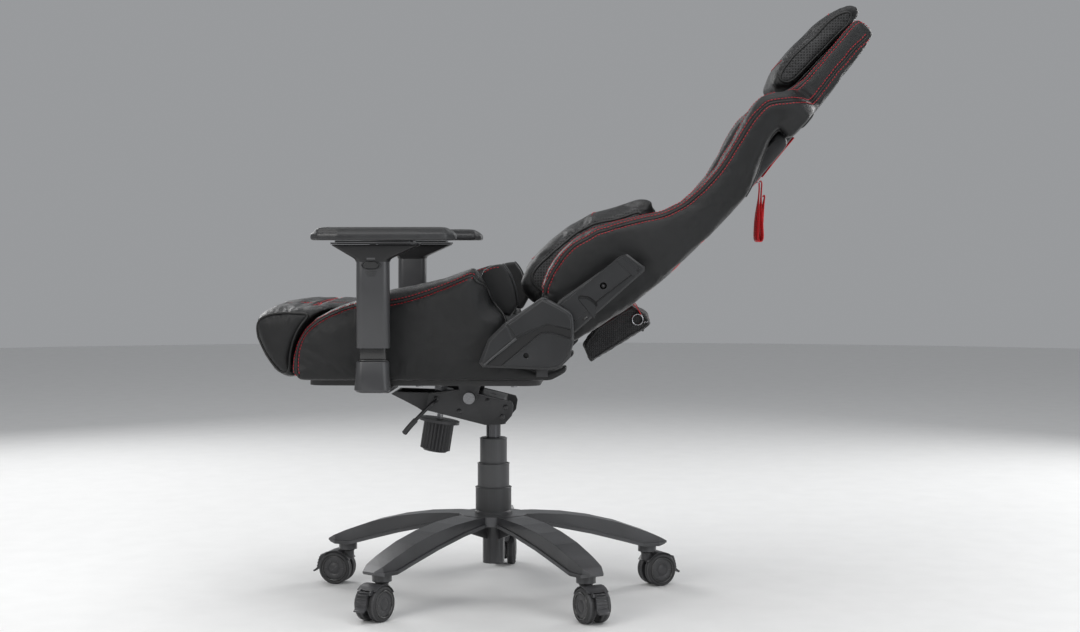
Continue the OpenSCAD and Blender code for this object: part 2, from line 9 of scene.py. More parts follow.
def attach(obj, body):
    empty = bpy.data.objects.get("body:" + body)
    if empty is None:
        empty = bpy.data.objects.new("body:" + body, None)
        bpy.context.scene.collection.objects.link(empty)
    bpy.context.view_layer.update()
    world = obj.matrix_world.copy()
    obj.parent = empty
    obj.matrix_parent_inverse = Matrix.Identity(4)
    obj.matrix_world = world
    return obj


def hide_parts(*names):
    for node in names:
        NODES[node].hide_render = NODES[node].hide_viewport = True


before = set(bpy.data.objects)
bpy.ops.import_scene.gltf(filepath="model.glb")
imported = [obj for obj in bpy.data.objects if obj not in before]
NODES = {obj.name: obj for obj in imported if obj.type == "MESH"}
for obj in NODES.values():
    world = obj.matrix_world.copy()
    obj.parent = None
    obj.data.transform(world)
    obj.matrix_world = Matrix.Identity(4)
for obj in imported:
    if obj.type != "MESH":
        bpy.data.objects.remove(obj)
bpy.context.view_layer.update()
scene = bpy.context.scene

# ---------------------------------------------------------------- camera and light
PSI, THETA = 0.0456, 0.0399          # turn and downward tilt of the view, radians
SENSOR, FOCAL_TO_WIDTH = 36, 1858.3 / 1080
cam_data = bpy.data.cameras.new("camera")
cam = bpy.data.objects.new("camera", cam_data)
scene.collection.objects.link(cam)
scene.camera = cam
cam.location = (3.573, 0.2531, 0.681)
look = Vector((-math.cos(PSI) * math.cos(THETA), -math.sin(PSI) * math.cos(THETA), -math.sin(THETA)))
cam.rotation_euler = look.to_track_quat("-Z", "Y").to_euler()
cam_data.sensor_width = SENSOR
cam_data.lens = SENSOR * FOCAL_TO_WIDTH


def link(obj):
    scene.collection.objects.link(obj)
    return obj


def area_light(name, loc, target, size, power, color=(1, 1, 1)):
    data = bpy.data.lights.new(name, "AREA")
    data.shape = "RECTANGLE"
    data.size, data.size_y = size
    data.energy = power
    data.color = color
    lamp = link(bpy.data.objects.new(name, data))
    lamp.location = loc
    lamp.rotation_euler = (Vector(target) - Vector(loc)).to_track_quat("-Z", "Y").to_euler()


area_light("top_soft", (0.6, 0.2, 3.0), (0, 0.1, 0.5), (2.6, 2.6), 44)
area_light("key_soft", (2.6, -1.9, 2.1), (0, 0, 0.6), (1.8, 1.8), 40, (1, 0.985, 0.965))
area_light("fill_soft", (2.4, 2.4, 1.3), (0, 0.2, 0.6), (1.6, 2.0), 26, (0.96, 0.98, 1))
area_light("rim_left", (-2.2, -1.8, 1.8), (0, 0, 0.6), (1.4, 1.8), 34)
area_light("rim_right", (-2.0, 2.2, 1.6), (0, 0.2, 0.7), (1.4, 1.8), 34)

world = bpy.data.worlds.new("world")
scene.world = world
world.use_nodes = True
sky = world.node_tree.nodes["Background"]
sky.inputs["Color"].default_value = (0.88, 0.90, 0.93, 1)
sky.inputs["Strength"].default_value = 0.36
scene.view_settings.view_transform = "Standard"
scene.view_settings.look = "None"

# ---------------------------------------------------------------- materials


def new_mat(name, color, rough, metallic=0.0, **sockets):
    """A principled material and its nodes, links and shader; sockets are set straight on the shader."""
    m = bpy.data.materials.new(name)
    m.use_nodes = True
    nt = m.node_tree
    bsdf = nt.nodes["Principled BSDF"]
    bsdf.inputs["Base Color"].default_value = (*color, 1)
    bsdf.inputs["Roughness"].default_value = rough
    bsdf.inputs["Metallic"].default_value = metallic
    for key, value in sockets.items():
        bsdf.inputs[key.replace("_", " ")].default_value = value
    m.diffuse_color = (*color, 1)
    return m, nt, bsdf


def node(nt, kind, **inputs):
    n = nt.nodes.new(kind)
    for key, value in inputs.items():
        n.inputs[key.replace("_", " ")].default_value = value
    return n


def coords(nt, stretch=(1, 1, 1)):
    tex = nt.nodes.new("ShaderNodeTexCoord")
    mapping = nt.nodes.new("ShaderNodeMapping")
    mapping.inputs["Scale"].default_value = stretch
    nt.links.new(tex.outputs["Object"], mapping.inputs["Vector"])
    return mapping.outputs["Vector"]


def ramp(nt, fac, lo, hi, p0=0.3, p1=0.7):
    r = nt.nodes.new("ShaderNodeValToRGB")
    r.color_ramp.elements[0].position, r.color_ramp.elements[1].position = p0, p1
    r.color_ramp.elements[0].color = (*lo, 1)
    r.color_ramp.elements[1].color = (*hi, 1)
    nt.links.new(fac, r.inputs["Fac"])
    return r.outputs["Color"]


def bump(nt, height, distance, strength=1.0, normal=None):
    b = node(nt, "ShaderNodeBump", Strength=strength, Distance=distance)
    nt.links.new(height, b.inputs["Height"])
    if normal is not None:
        nt.links.new(normal, b.inputs["Normal"])
    return b.outputs["Normal"]


def rounded(nt, radius=0.0008):
    b = nt.nodes.new("ShaderNodeBevel")
    b.samples = 4
    b.inputs["Radius"].default_value = radius
    return b.outputs["Normal"]


def edge_tint(nt, color, worn, amount=0.5):
    """Lightens the convex edges a little, as handling does."""
    geo = nt.nodes.new("ShaderNodeNewGeometry")
    mask = ramp(nt, geo.outputs["Pointiness"], (0, 0, 0), (amount, amount, amount), 0.515, 0.60)
    mix = nt.nodes.new("ShaderNodeMixRGB")
    nt.links.new(mask, mix.inputs["Fac"])
    nt.links.new(color, mix.inputs["Color1"])
    mix.inputs["Color2"].default_value = (*worn, 1)
    return mix.outputs["Color"]


def texture(nt, vec, kind, **inputs):
    """A texture node fed with vec."""
    n = node(nt, "ShaderNodeTex" + kind, **inputs)
    nt.links.new(vec, n.inputs["Vector"])
    return n


def shade(color, factor, add=0.0):
    return tuple(min(1, c * factor + add) for c in color)


def roughness(nt, bsdf, fac, low, high):
    nt.links.new(ramp(nt, fac, (low,) * 3, (high,) * 3), bsdf.inputs["Roughness"])


def leather(name, color, rough=0.37, grain=900, depth=0.00022):
    m, nt, bsdf = new_mat(name, color, rough, Coat_Weight=0.03, Coat_Roughness=0.30, Specular_IOR_Level=0.32)
    vec = coords(nt)
    tone = texture(nt, vec, "Noise", Scale=7.0, Detail=5.0, Roughness=0.6).outputs["Fac"]
    col = ramp(nt, tone, shade(color, 0.72), shade(color, 1.38, 0.004))
    nt.links.new(edge_tint(nt, col, shade(color, 1.9, 0.01), 0.6), bsdf.inputs["Base Color"])
    cells = texture(nt, vec, "Voronoi", Scale=grain)
    cells.feature = "DISTANCE_TO_EDGE"
    fine = texture(nt, vec, "Noise", Scale=grain * 0.55, Detail=4.0, Roughness=0.7)
    swells = texture(nt, vec, "Noise", Scale=34.0, Detail=3.0, Roughness=0.55)
    pebble = ramp(nt, cells.outputs["Distance"], (0, 0, 0), (1, 1, 1), 0.0, 0.32)
    normal = bump(nt, swells.outputs["Fac"], 0.0012, 0.55)
    normal = bump(nt, pebble, depth, 0.75, normal)
    nt.links.new(bump(nt, fine.outputs["Fac"], depth * 0.8, 0.6, normal), bsdf.inputs["Normal"])
    roughness(nt, bsdf, tone, rough - 0.07, rough + 0.09)
    return m


def plastic(name, color, rough=0.45, grain=1400, depth=0.00010, coat=0.0):
    m, nt, bsdf = new_mat(name, color, rough, Coat_Weight=coat, Coat_Roughness=0.25)
    vec = coords(nt)
    tone = texture(nt, vec, "Noise", Scale=11.0, Detail=4.0, Roughness=0.55).outputs["Fac"]
    spark = texture(nt, vec, "Noise", Scale=grain, Detail=3.0, Roughness=0.65)
    col = ramp(nt, tone, shade(color, 0.86), shade(color, 1.16))
    nt.links.new(edge_tint(nt, col, shade(color, 1.8, 0.02), 0.7), bsdf.inputs["Base Color"])
    roughness(nt, bsdf, tone, rough - 0.05, rough + 0.07)
    nt.links.new(bump(nt, spark.outputs["Fac"], depth, 0.8, rounded(nt)), bsdf.inputs["Normal"])
    return m


def painted(name, color, rough=0.35, metallic=0.0):
    m, nt, bsdf = new_mat(name, color, rough, metallic, Coat_Weight=0.2, Coat_Roughness=0.22)
    vec = coords(nt)
    tone = texture(nt, vec, "Noise", Scale=9.0, Detail=5.0, Roughness=0.6).outputs["Fac"]
    peel = texture(nt, vec, "Noise", Scale=180, Detail=2.0, Roughness=0.5)
    flake = texture(nt, vec, "Voronoi", Scale=2200.0)
    col = ramp(nt, tone, shade(color, 0.82), shade(color, 1.2))
    nt.links.new(edge_tint(nt, col, shade(color, 1.9, 0.02), 0.8), bsdf.inputs["Base Color"])
    roughness(nt, bsdf, tone, rough - 0.06, rough + 0.08)
    normal = bump(nt, peel.outputs["Fac"], 0.00025, 0.5, rounded(nt, 0.0011))
    nt.links.new(bump(nt, flake.outputs["Distance"], 0.00006, 0.5, normal), bsdf.inputs["Normal"])
    return m


def steel(name, color, rough, stretch=(1, 1, 0.02), scale=900):
    m, nt, bsdf = new_mat(name, color, rough, 1.0)
    lines = texture(nt, coords(nt, stretch), "Noise", Scale=scale, Detail=4.0, Roughness=0.7).outputs["Fac"]
    nt.links.new(ramp(nt, lines, shade(color, 0.75), shade(color, 1.25)), bsdf.inputs["Base Color"])
    roughness(nt, bsdf, lines, rough * 0.8, rough * 1.3)
    nt.links.new(bump(nt, lines, 0.00005, 0.6), bsdf.inputs["Normal"])
    return m


def woven(name, color, pitch=0.0016, depth=0.0004, rough=0.85, gap_shade=0.0, sheen=0.3):
    """A plain weave from two crossed waves; gaps darkens between the threads further, as painted shade in the holes
    of an open mesh.
    """
    m, nt, bsdf = new_mat(name, color, rough, Sheen_Weight=sheen, Sheen_Roughness=0.4)
    vec = coords(nt)
    both = nt.nodes.new("ShaderNodeMath")
    both.operation = "MAXIMUM"
    for i, axis in enumerate("YZ"):
        w = texture(nt, vec, "Wave", Scale=1 / (pitch * 20) * 3.1416, Distortion=0.6, Detail=1.0)
        w.bands_direction = axis
        nt.links.new(w.outputs["Fac"], both.inputs[i])
    tone = texture(nt, vec, "Noise", Scale=25.0, Detail=4.0)
    thread = ramp(nt, both.outputs[0], shade(color, 0.6 - 0.55 * gap_shade), shade(color, 1.2), 0.25, 0.8)
    mix = nt.nodes.new("ShaderNodeMixRGB")
    mix.blend_type = "MULTIPLY"
    mix.inputs["Fac"].default_value = 0.6
    nt.links.new(thread, mix.inputs["Color1"])
    nt.links.new(ramp(nt, tone.outputs["Fac"], (0.75,) * 3, (1,) * 3), mix.inputs["Color2"])
    nt.links.new(mix.outputs["Color"], bsdf.inputs["Base Color"])
    nt.links.new(bump(nt, both.outputs[0], depth, 0.9), bsdf.inputs["Normal"])
    return m


M = {
    "leather": leather("leather_black", (0.0088, 0.0091, 0.0096)),
    "leather_top": leather("leather_top", (0.0092, 0.0094, 0.0099), rough=0.40),
    "leather_grey": leather("leather_grey", (0.030, 0.0305, 0.032), rough=0.36),
    "piping": leather("piping_black", (0.012, 0.012, 0.012), rough=0.33, grain=1500, depth=0.0001),
    # the open mesh and the spacer fabric paint near-black shade into their holes
    "mesh": woven("mesh_black", (0.026, 0.026, 0.027), pitch=0.0019, depth=0.0007, gap_shade=0.9),
    "mesh_trim": woven("binding_black", (0.020, 0.020, 0.021), pitch=0.0012),
    "spacer": woven("spacer_fabric", (0.036, 0.036, 0.037), pitch=0.0026, depth=0.0008, gap_shade=0.6),
    "red_web": woven("webbing_red", (0.62, 0.006, 0.012), pitch=0.0015, depth=0.0004, rough=0.6, sheen=0.15),
    "thread": woven("thread_red", (0.42, 0.006, 0.018), pitch=0.0008, depth=0.0002, rough=0.6, sheen=0.05),
    "thread_black": woven("thread_black", (0.02, 0.02, 0.02), pitch=0.0008, depth=0.0002, rough=0.6),
    "base": painted("base_grey", (0.036, 0.0365, 0.039), rough=0.34, metallic=0.2),
    "steel_black": painted("steel_black", (0.018, 0.018, 0.019), rough=0.34, metallic=0.2),
    "sleeve": plastic("sleeve_grey", (0.034, 0.0345, 0.036), rough=0.45),
    "black": plastic("plastic_black", (0.026, 0.026, 0.028), rough=0.42),
    "black_gloss": plastic("plastic_gloss", (0.012, 0.012, 0.012), rough=0.16, depth=0.00002, coat=0.5),
    "cover": plastic("cover_charcoal", (0.0155, 0.016, 0.0172), rough=0.38, grain=1200, depth=0.00014),
    "cover_dark": plastic("cover_dark", (0.0060, 0.0060, 0.0066), rough=0.46, grain=1200, depth=0.00014),
    # a lighter grey that paints highlights on the hinge covers' ridge and rim
    "cover_painted_highlight": plastic("cover_highlight_paint", (0.040, 0.041, 0.043), rough=0.32),
    "arm_grey": plastic("arm_grey", (0.042, 0.0425, 0.045), rough=0.34),
    "bracket": plastic("bracket_black", (0.011, 0.011, 0.012), rough=0.40),
    "pad": plastic("pad_grey", (0.026, 0.0265, 0.028), rough=0.50, grain=1000, depth=0.00018),
    "pad_band": plastic("pad_band", (0.030, 0.0305, 0.032), rough=0.36),
    "caster": plastic("caster_black", (0.022, 0.022, 0.024), rough=0.38),
    "wheel": plastic("wheel_grey", (0.034, 0.034, 0.036), rough=0.40),
    "tread": plastic("tread_rubber", (0.018, 0.018, 0.019), rough=0.62),
    "rod": steel("rod_steel", (0.10, 0.10, 0.105), 0.18),
    "bolt": steel("bolt_steel", (0.34, 0.34, 0.35), 0.32, (1, 1, 1), 300),
    "chrome": steel("ring_chrome", (0.42, 0.42, 0.44), 0.20, (1, 1, 1), 200),
    "board": plastic("board_black", (0.020, 0.020, 0.020), rough=0.75, grain=500, depth=0.0003),
}

# ---------------------------------------------------------------- mesh tools
LEAN = math.radians(44)
PIVOT = Vector((0, 0.105, 0.512))
BACK = Matrix.Translation(PIVOT) @ Matrix.Rotation(-LEAN, 4, "X")   # upright backrest frame to the drawn pose
IDENT = Matrix.Identity(4)


def mesh_obj(name, verts, faces, mats, smooth=True, matrix=IDENT, face_mats=None):
    me = bpy.data.meshes.new(name)
    me.from_pydata([tuple(v) for v in verts], [], [tuple(f) for f in faces])
    for m in mats if isinstance(mats, (list, tuple)) else [mats]:
        me.materials.append(m)
    if face_mats is not None:
        me.polygons.foreach_set("material_index", np.asarray(face_mats, dtype=np.int32))
    me.transform(matrix)
    me.update()
    me.polygons.foreach_set("use_smooth", [smooth] * len(me.polygons))
    return link(bpy.data.objects.new(name, me))


def ring_faces(rings, n, first=0, closed=False, caps=True):
    """Quads between rings of n points each, with a cap on both ends unless they close on themselves."""
    faces = []
    for i in range(rings if closed else rings - 1):
        a, b = first + i * n, first + (i + 1) % rings * n
        faces += [(a + k, a + (k + 1) % n, b + (k + 1) % n, b + k) for k in range(n)]
    if caps and not closed:
        faces += [tuple(range(first, first + n))[::-1], tuple(range(first + (rings - 1) * n, first + rings * n))]
    return faces


def flipped(faces):
    return [f[::-1] for f in faces]


def circle(radius, n):
    """(cosine, sine) pairs times radius, n to the turn."""
    return [(radius * math.cos(2 * math.pi * k / n), radius * math.sin(2 * math.pi * k / n)) for k in range(n)]


def array(pts):
    return np.array([tuple(v) for v in pts])


def arc_lengths(p):
    return np.r_[0, np.cumsum(np.linalg.norm(np.diff(p, axis=0), axis=1))]


def sample(p, seg, at):
    """Points at distances at along p, whose own distances are seg."""
    return np.stack([np.interp(at, seg, p[:, k]) for k in range(p.shape[1])], axis=-1)


def sd_poly(pts, y, z):
    """Signed distance from points (y, z) to a closed outline: negative inside."""
    y, z = np.broadcast_arrays(np.asarray(y, float), np.asarray(z, float))
    p = np.asarray(pts, float)
    q = np.roll(p, -1, axis=0)
    best = np.full(y.shape, 1e9)
    inside = np.zeros(y.shape, bool)
    for (ay, az), (by, bz) in zip(p, q):
        ey, ez = by - ay, bz - az
        wy, wz = y - ay, z - az
        t = np.clip((wy * ey + wz * ez) / (ey * ey + ez * ez + 1e-12), 0, 1)
        best = np.minimum(best, np.hypot(wy - ey * t, wz - ez * t))
        cross = ((az <= z) != (bz <= z)) & (y < (by - ay) * (z - az) / ((bz - az) or 1e-12) + ay)
        inside ^= cross
    return np.where(inside, -best, best)


def smooth_line(pts, closed=False, step=4.0):
    """Catmull-Rom through the points, resampled evenly every step."""
    p = np.asarray(pts, float)
    n = len(p)
    rows = []
    for i in range(n if closed else n - 1):
        a, b, c, d = (p[(i + k) % n] if closed else p[min(max(i + k, 0), n - 1)] for k in (-1, 0, 1, 2))
        for t in np.linspace(0, 1, 12, endpoint=False):
            rows.append(0.5 * (2 * b + (c - a) * t + (2 * a - 5 * b + 4 * c - d) * t * t
                + (3 * b - a - 3 * c + d) * t ** 3))
    if not closed:
        rows.append(p[-1])
    rows = np.array(rows)
    if closed:
        rows = np.vstack([rows, rows[:1]])
    seg = arc_lengths(rows)
    out = sample(rows, seg, np.linspace(0, seg[-1], max(3, int(seg[-1] / step)) + 1))
    return out[:-1] if closed else out


def smax(a, b, r):
    h = np.clip(0.5 + 0.5 * (a - b) / r, 0, 1)
    return b + (a - b) * h + r * h * (1 - h)


def smin(a, b, r):
    return -smax(-a, -b, r)


def surface_nets(field, lo, hi, cell):
    """Quads of the zero level of field(x, y, z), in millimetres, over a box."""
    axes = [np.arange(l - cell, h + 2 * cell, cell) for l, h in zip(lo, hi)]
    gx, gy, gz = np.meshgrid(*axes, indexing="ij", sparse=True)
    v = field(gx, gy, gz) + 0 * (gx + gy + gz)
    inside = v < 0
    cells = tuple(s - 1 for s in v.shape)
    total = np.zeros(cells + (3,))
    count = np.zeros(cells)
    base = [slice(0, -1), slice(1, None)]
    for axis in range(3):
        others = [k for k in range(3) if k != axis]
        for i in (0, 1):
            for j in (0, 1):
                s0, s1 = [None] * 3, [None] * 3
                s0[axis], s1[axis] = base[0], base[1]
                s0[others[0]] = s1[others[0]] = base[i]
                s0[others[1]] = s1[others[1]] = base[j]
                a, b = v[tuple(s0)], v[tuple(s1)]
                cut = (a < 0) != (b < 0)
                t = np.where(cut, a / np.where(cut, a - b, 1), 0)
                off = np.zeros(cells + (3,))
                off[..., axis] = t
                off[..., others[0]] = i
                off[..., others[1]] = j
                total += off * cut[..., None]
                count += cut
    active = count > 0
    index = np.full(cells, -1)
    index[active] = np.arange(active.sum())
    where = np.argwhere(active)
    pos = (where + total[active] / count[active][:, None]) * cell + np.array([a[0] for a in axes])
    quads = []
    for axis in range(3):
        o1, o2 = [(1, 2), (2, 0), (0, 1)][axis]
        s0 = [slice(1, -1)] * 3
        s1 = [slice(1, -1)] * 3
        s0[axis], s1[axis] = slice(0, -1), slice(1, None)
        a, b = inside[tuple(s0)], inside[tuple(s1)]
        for flip in (False, True):
            pts = np.argwhere((a & ~b) if not flip else (~a & b))
            start = [1, 1, 1]
            start[axis] = 0
            pts = pts + start
            corners = []
            for d1, d2 in ((0, 0), (-1, 0), (-1, -1), (0, -1)):
                c = pts.copy()
                c[:, o1] += d1
                c[:, o2] += d2
                corners.append(index[c[:, 0], c[:, 1], c[:, 2]])
            q = np.stack(corners, axis=1)
            quads.append(q if not flip else q[:, ::-1])
    quads = np.vstack(quads)
    return pos, quads[(quads >= 0).all(axis=1)]


def relax(pos, quads, rounds, amount=0.5):
    """Moves each point towards the mean of its neighbours."""
    e = np.vstack([quads[:, [k, (k + 1) % 4]] for k in range(4)])
    e = np.unique(np.sort(e, axis=1), axis=0)
    e = np.vstack([e, e[:, ::-1]])
    deg = np.bincount(e[:, 0], minlength=len(pos))[:, None]
    for _ in range(rounds):
        acc = np.stack([np.bincount(e[:, 0], pos[e[:, 1], k], len(pos)) for k in range(3)], axis=1)
        pos = pos + amount * (acc / np.maximum(deg, 1) - pos)
    return pos


def soft(name, field, lo, hi, mats, matrix=IDENT, cell=4.0, rounds=3, mirror=False, subdiv=1):
    """A soft piece from a field in millimetres."""
    pos, quads = surface_nets(field, lo, hi, cell)
    pos = relax(pos, quads, rounds)
    if mirror:
        pos = pos * [-1, 1, 1]
        quads = quads[:, ::-1]
    obj = mesh_obj(name, pos * 0.001, quads, mats, matrix=matrix)
    if subdiv:
        apply_mod(obj, "SUBSURF", levels=subdiv, render_levels=subdiv)
    return obj


def apply_mod(obj, kind, **settings):
    mod = obj.modifiers.new(kind.lower(), kind)
    for key, value in settings.items():
        setattr(mod, key, value)
    bpy.context.view_layer.objects.active = obj
    with bpy.context.temp_override(object=obj, active_object=obj, selected_objects=[obj]):
        bpy.ops.object.modifier_apply(modifier=mod.name)


def puff(obj, pressure=4.0, cap=0.010, steps=20, pin=None, shrink=0.0):
    """Inflates a closed piece as cloth, each point kept within cap of its start. pin(co) gives 0 to 1."""
    me = obj.data
    rest = np.array([v.co for v in me.vertices])
    if pin is not None:
        group = obj.vertex_groups.new(name="pin")
        weights = pin(rest)
        for i in np.nonzero(weights > 0.01)[0]:
            group.add([int(i)], float(min(1, weights[i])), "REPLACE")
    mod = obj.modifiers.new("cloth", "CLOTH")
    s = mod.settings
    s.quality = 5
    s.mass = 0.3
    s.tension_stiffness = s.compression_stiffness = 12
    s.shear_stiffness = 6
    s.bending_stiffness = 0.6
    s.use_pressure = True
    s.uniform_pressure_force = pressure
    s.shrink_min = shrink
    s.effector_weights.gravity = 0
    if pin is not None:
        s.vertex_group_mass = "pin"
        s.pin_stiffness = 1.0
    mod.collision_settings.use_collision = False
    for f in range(1, steps + 1):
        scene.frame_set(f)
    dep = bpy.context.evaluated_depsgraph_get()
    moved = np.array([v.co for v in obj.evaluated_get(dep).data.vertices])
    obj.modifiers.remove(mod)
    scene.frame_set(1)
    d = moved - rest
    length = np.linalg.norm(d, axis=1)
    scale = np.where(length > 1e-9, cap * np.tanh(length / cap) / np.maximum(length, 1e-9), 1)
    co = rest + d * scale[:, None]
    me.vertices.foreach_set("co", co.ravel())
    me.update()
    if pin is not None:
        obj.vertex_groups.clear()


def tree_of(obj):
    me = obj.data
    return BVHTree.FromPolygons([v.co.copy() for v in me.vertices], [tuple(p.vertices) for p in me.polygons])


def lay_on(tree, pts, direction, reach=0.2):
    """Drops points (metres) on a surface along a direction, starting outside it; gives places and normals."""
    places, normals = [], []
    d = Vector(direction).normalized()
    for p in pts:
        hit, nrm, _, _ = tree.ray_cast(Vector(p) - d * reach, d, reach * 2)
        if hit is None:
            hit, nrm, _, _ = tree.find_nearest(Vector(p))
        if nrm.dot(d) > 0:
            nrm = -nrm
        places.append(hit)
        normals.append(nrm)
    return places, normals


def snap(tree, pts):
    places, normals = [], []
    for p in pts:
        hit, nrm, _, _ = tree.find_nearest(Vector(p))
        places.append(hit)
        normals.append(nrm)
    return places, normals


def even(pts, step):
    p = array(pts)
    seg = arc_lengths(p)
    return sample(p, seg, np.arange(0, seg[-1], step))


def soften(pts, rounds=2):
    p = array(pts)
    for _ in range(rounds):
        p[1:-1] = 0.25 * p[:-2] + 0.5 * p[1:-1] + 0.25 * p[2:]
    return p


def tube(name, pts, radius, mat, closed=False, sides=10):
    """A round tube along pts; radius is a number, or a function of how far along, 0 to 1."""
    p = array(pts)
    n = len(p)
    verts = []
    up = None
    for i in range(n):
        a = p[(i - 1) % n] if closed else p[max(i - 1, 0)]
        b = p[(i + 1) % n] if closed else p[min(i + 1, n - 1)]
        t = Vector(b - a).normalized()
        if up is None:
            up = t.orthogonal().normalized()
        up = (up - t * up.dot(t)).normalized()
        side = t.cross(up)
        r = radius(i / max(1, n - 1)) if callable(radius) else radius
        verts += [Vector(p[i]) + (up * c + side * s) * r for c, s in circle(1, sides)]
    return mesh_obj(name, verts, ring_faces(n, sides, closed=closed), mat)


def stitches(name, places, normals, mat, pitch=0.0062, length=0.0042, r=0.00078, lift=0.0004):
    """A row of thread dashes, each a small bowed capsule that dips at both ends."""
    p, nn = array(places), array(normals)
    seg = arc_lengths(p)
    verts, faces = [], []
    at = pitch * 0.5
    rings, sides, reach = 5, 6, 1e-4
    while at + length < seg[-1]:
        faces += ring_faces(rings, sides, len(verts))
        for i in range(rings):
            u = i / (rings - 1)
            here = at + u * length
            up = Vector(sample(nn, seg, here)).normalized()
            t = Vector(sample(p, seg, here + reach) - sample(p, seg, here - reach)).normalized()
            side = t.cross(up).normalized()
            rr = r * (0.45 + 0.55 * math.sin(math.pi * (0.12 + 0.76 * u)))
            mid = Vector(sample(p, seg, here)) + up * (lift + r * 0.5 * math.sin(math.pi * u) - r * 0.3)
            verts += [mid + (up * c + side * s) * rr for c, s in circle(1, sides)]
        at += pitch
    return mesh_obj(name, verts, faces, mat)


def on_surface(tree, line, direction):
    """A line moved on to the surface, along direction or else to the nearest place, and its normals."""
    places, normals = snap(tree, line) if direction is None else lay_on(tree, line, direction)
    return soften(places, 3), normals


def double_seam(name, tree, line, direction, body, gap=0.0052, cord=0.0011):
    """A closed seam with a fine cord in it and a row of red stitches on each side. line is in metres."""
    places, normals = on_surface(tree, line, direction)
    last = len(places) - 1
    for sgn, label in ((-1, "a"), (1, "b")):
        side = []
        for i, p in enumerate(places):
            t = Vector(places[min(i + 1, last)] - places[max(i - 1, 0)]).normalized()
            side.append(Vector(p) + t.cross(normals[i]).normalized() * gap * sgn)
        row, row_normals = snap(tree, side)
        done(stitches(f"{name}_stitch_{label}", soften(row, 2), row_normals, M["thread"]), body, "webbing_red")
    raised = [Vector(p) + n * cord * 0.1 for p, n in zip(places, normals)]
    done(tube(f"{name}_cord", raised, cord, M["piping"], sides=8), body, "leather_black")


def piping(name, tree, line, body, radius, mat="piping", direction=None):
    """A covered cord standing on the surface along a line."""
    places, normals = on_surface(tree, line, direction)
    raised = [Vector(p) + n * radius * 0.3 for p, n in zip(places, normals)]
    done(tube(name, raised, radius, M[mat]), body, "leather_black")


def line_near(co, line):
    """Distance to a polyline of close points, and how far along it, for each vertex."""
    line = np.asarray(line)
    arc = arc_lengths(line)
    dist = np.full(len(co), 1.0)
    at = np.zeros(len(co))
    lo, hi = line.min(0) - 0.05, line.max(0) + 0.05
    pick = np.nonzero(((co > lo) & (co < hi)).all(1))[0]
    for i in range(0, len(pick), 20000):
        part = pick[i:i + 20000]
        d = np.linalg.norm(co[part][:, None] - line[None], axis=2)
        k = d.argmin(1)
        dist[part] = d[np.arange(len(part)), k]
        at[part] = arc[k]
    return dist, at


def vertex_arrays(obj):
    me = obj.data
    n = len(me.vertices)
    co, nr = np.empty(n * 3), np.empty(n * 3)
    me.vertices.foreach_get("co", co)
    me.vertex_normals.foreach_get("vector", nr)
    return co.reshape(-1, 3), nr.reshape(-1, 3)


def put(obj, co):
    obj.data.vertices.foreach_set("co", co.ravel())
    obj.data.update()


def crease(obj, line, depth=0.0022, width=0.0035, gathers=0.0, pitch=0.013, reach=0.022, seed=0.0):
    """Draws the surface in along a seam, with short gathers running off it."""
    line = even(line, 0.003)
    co, nr = vertex_arrays(obj)
    d, at = line_near(co, line)
    push = -depth * np.exp(-(d / width) ** 2)
    if gathers:
        wave = np.sin(2 * math.pi * at / pitch + 3 * np.sin(at * 61 + seed) + seed)
        strength = 0.5 + 0.5 * np.sin(at * 37 + seed * 2.3)
        push = push + gathers * wave * strength * np.exp(-(d / reach) ** 2) * (1 - np.exp(-(d / 0.004) ** 2))
    put(obj, co + nr * push[:, None])


def crumple(obj, amount, size, stretch=(1, 1, 1), seed=0.0, ridged=0.0, mask=None):
    """Uneven leather: soft swells, and sharper creases where ridged is above 0."""
    co, nr = vertex_arrays(obj)
    q = co * np.array(stretch) / size + seed
    val = np.array([noise.fractal(Vector(v), 0.7, 2.1, 3) for v in q])
    if ridged:
        folds = np.array([noise.ridged_multi_fractal(Vector(v), 0.9, 2.0, 3, 0.9, 2.0) for v in q * 0.8 + 7])
        val = val * (1 - ridged) + ridged * (1.2 - folds)
    push = amount * val * (mask(co) if mask is not None else 1)
    put(obj, co + nr * push[:, None])


def mm(pts):
    return [Vector(p) * 0.001 for p in pts]


def bl(pts):
    """Points (x, forward, up along the back) of the upright backrest, in mm, to the drawn pose in metres."""
    return [BACK @ (Vector(p) * 0.001) for p in pts]


def side_pts(x, line):
    """[y, z] points at one x, all in mm, as vectors in metres."""
    return [Vector((x, y, z)) * 0.001 for y, z in line]


def wide(path, x):
    """A [y, z] line at one x, evenly resampled, as 3-D points in mm."""
    return [(x, p[0], p[1]) for p in smooth_line(path, step=4)]


def step01(v):
    v = np.clip(v, 0, 1)
    return v * v * (3 - 2 * v)


def done(obj, body, slot, *nodes, fill=None):
    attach(obj, body)
    if nodes:
        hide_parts(*nodes)
    return obj


# ---------------------------------------------------------------- seat: side bolsters
CROWN = [(-17, 636), (-34, 630), (-73, 615), (-122, 603), (-167, 595), (-228, 576), (-270, 561), (-300, 544),
    (-320, 526), (-335, 502), (-343, 472), (-346, 447)]
FOOT = [(-333, 431), (121, 432), (148, 447), (152, 462), (128, 452), (100, 449), (75, 458), (56, 475), (44, 500),
    (40, 530), (37, 547), (15, 571), (0, 605)]


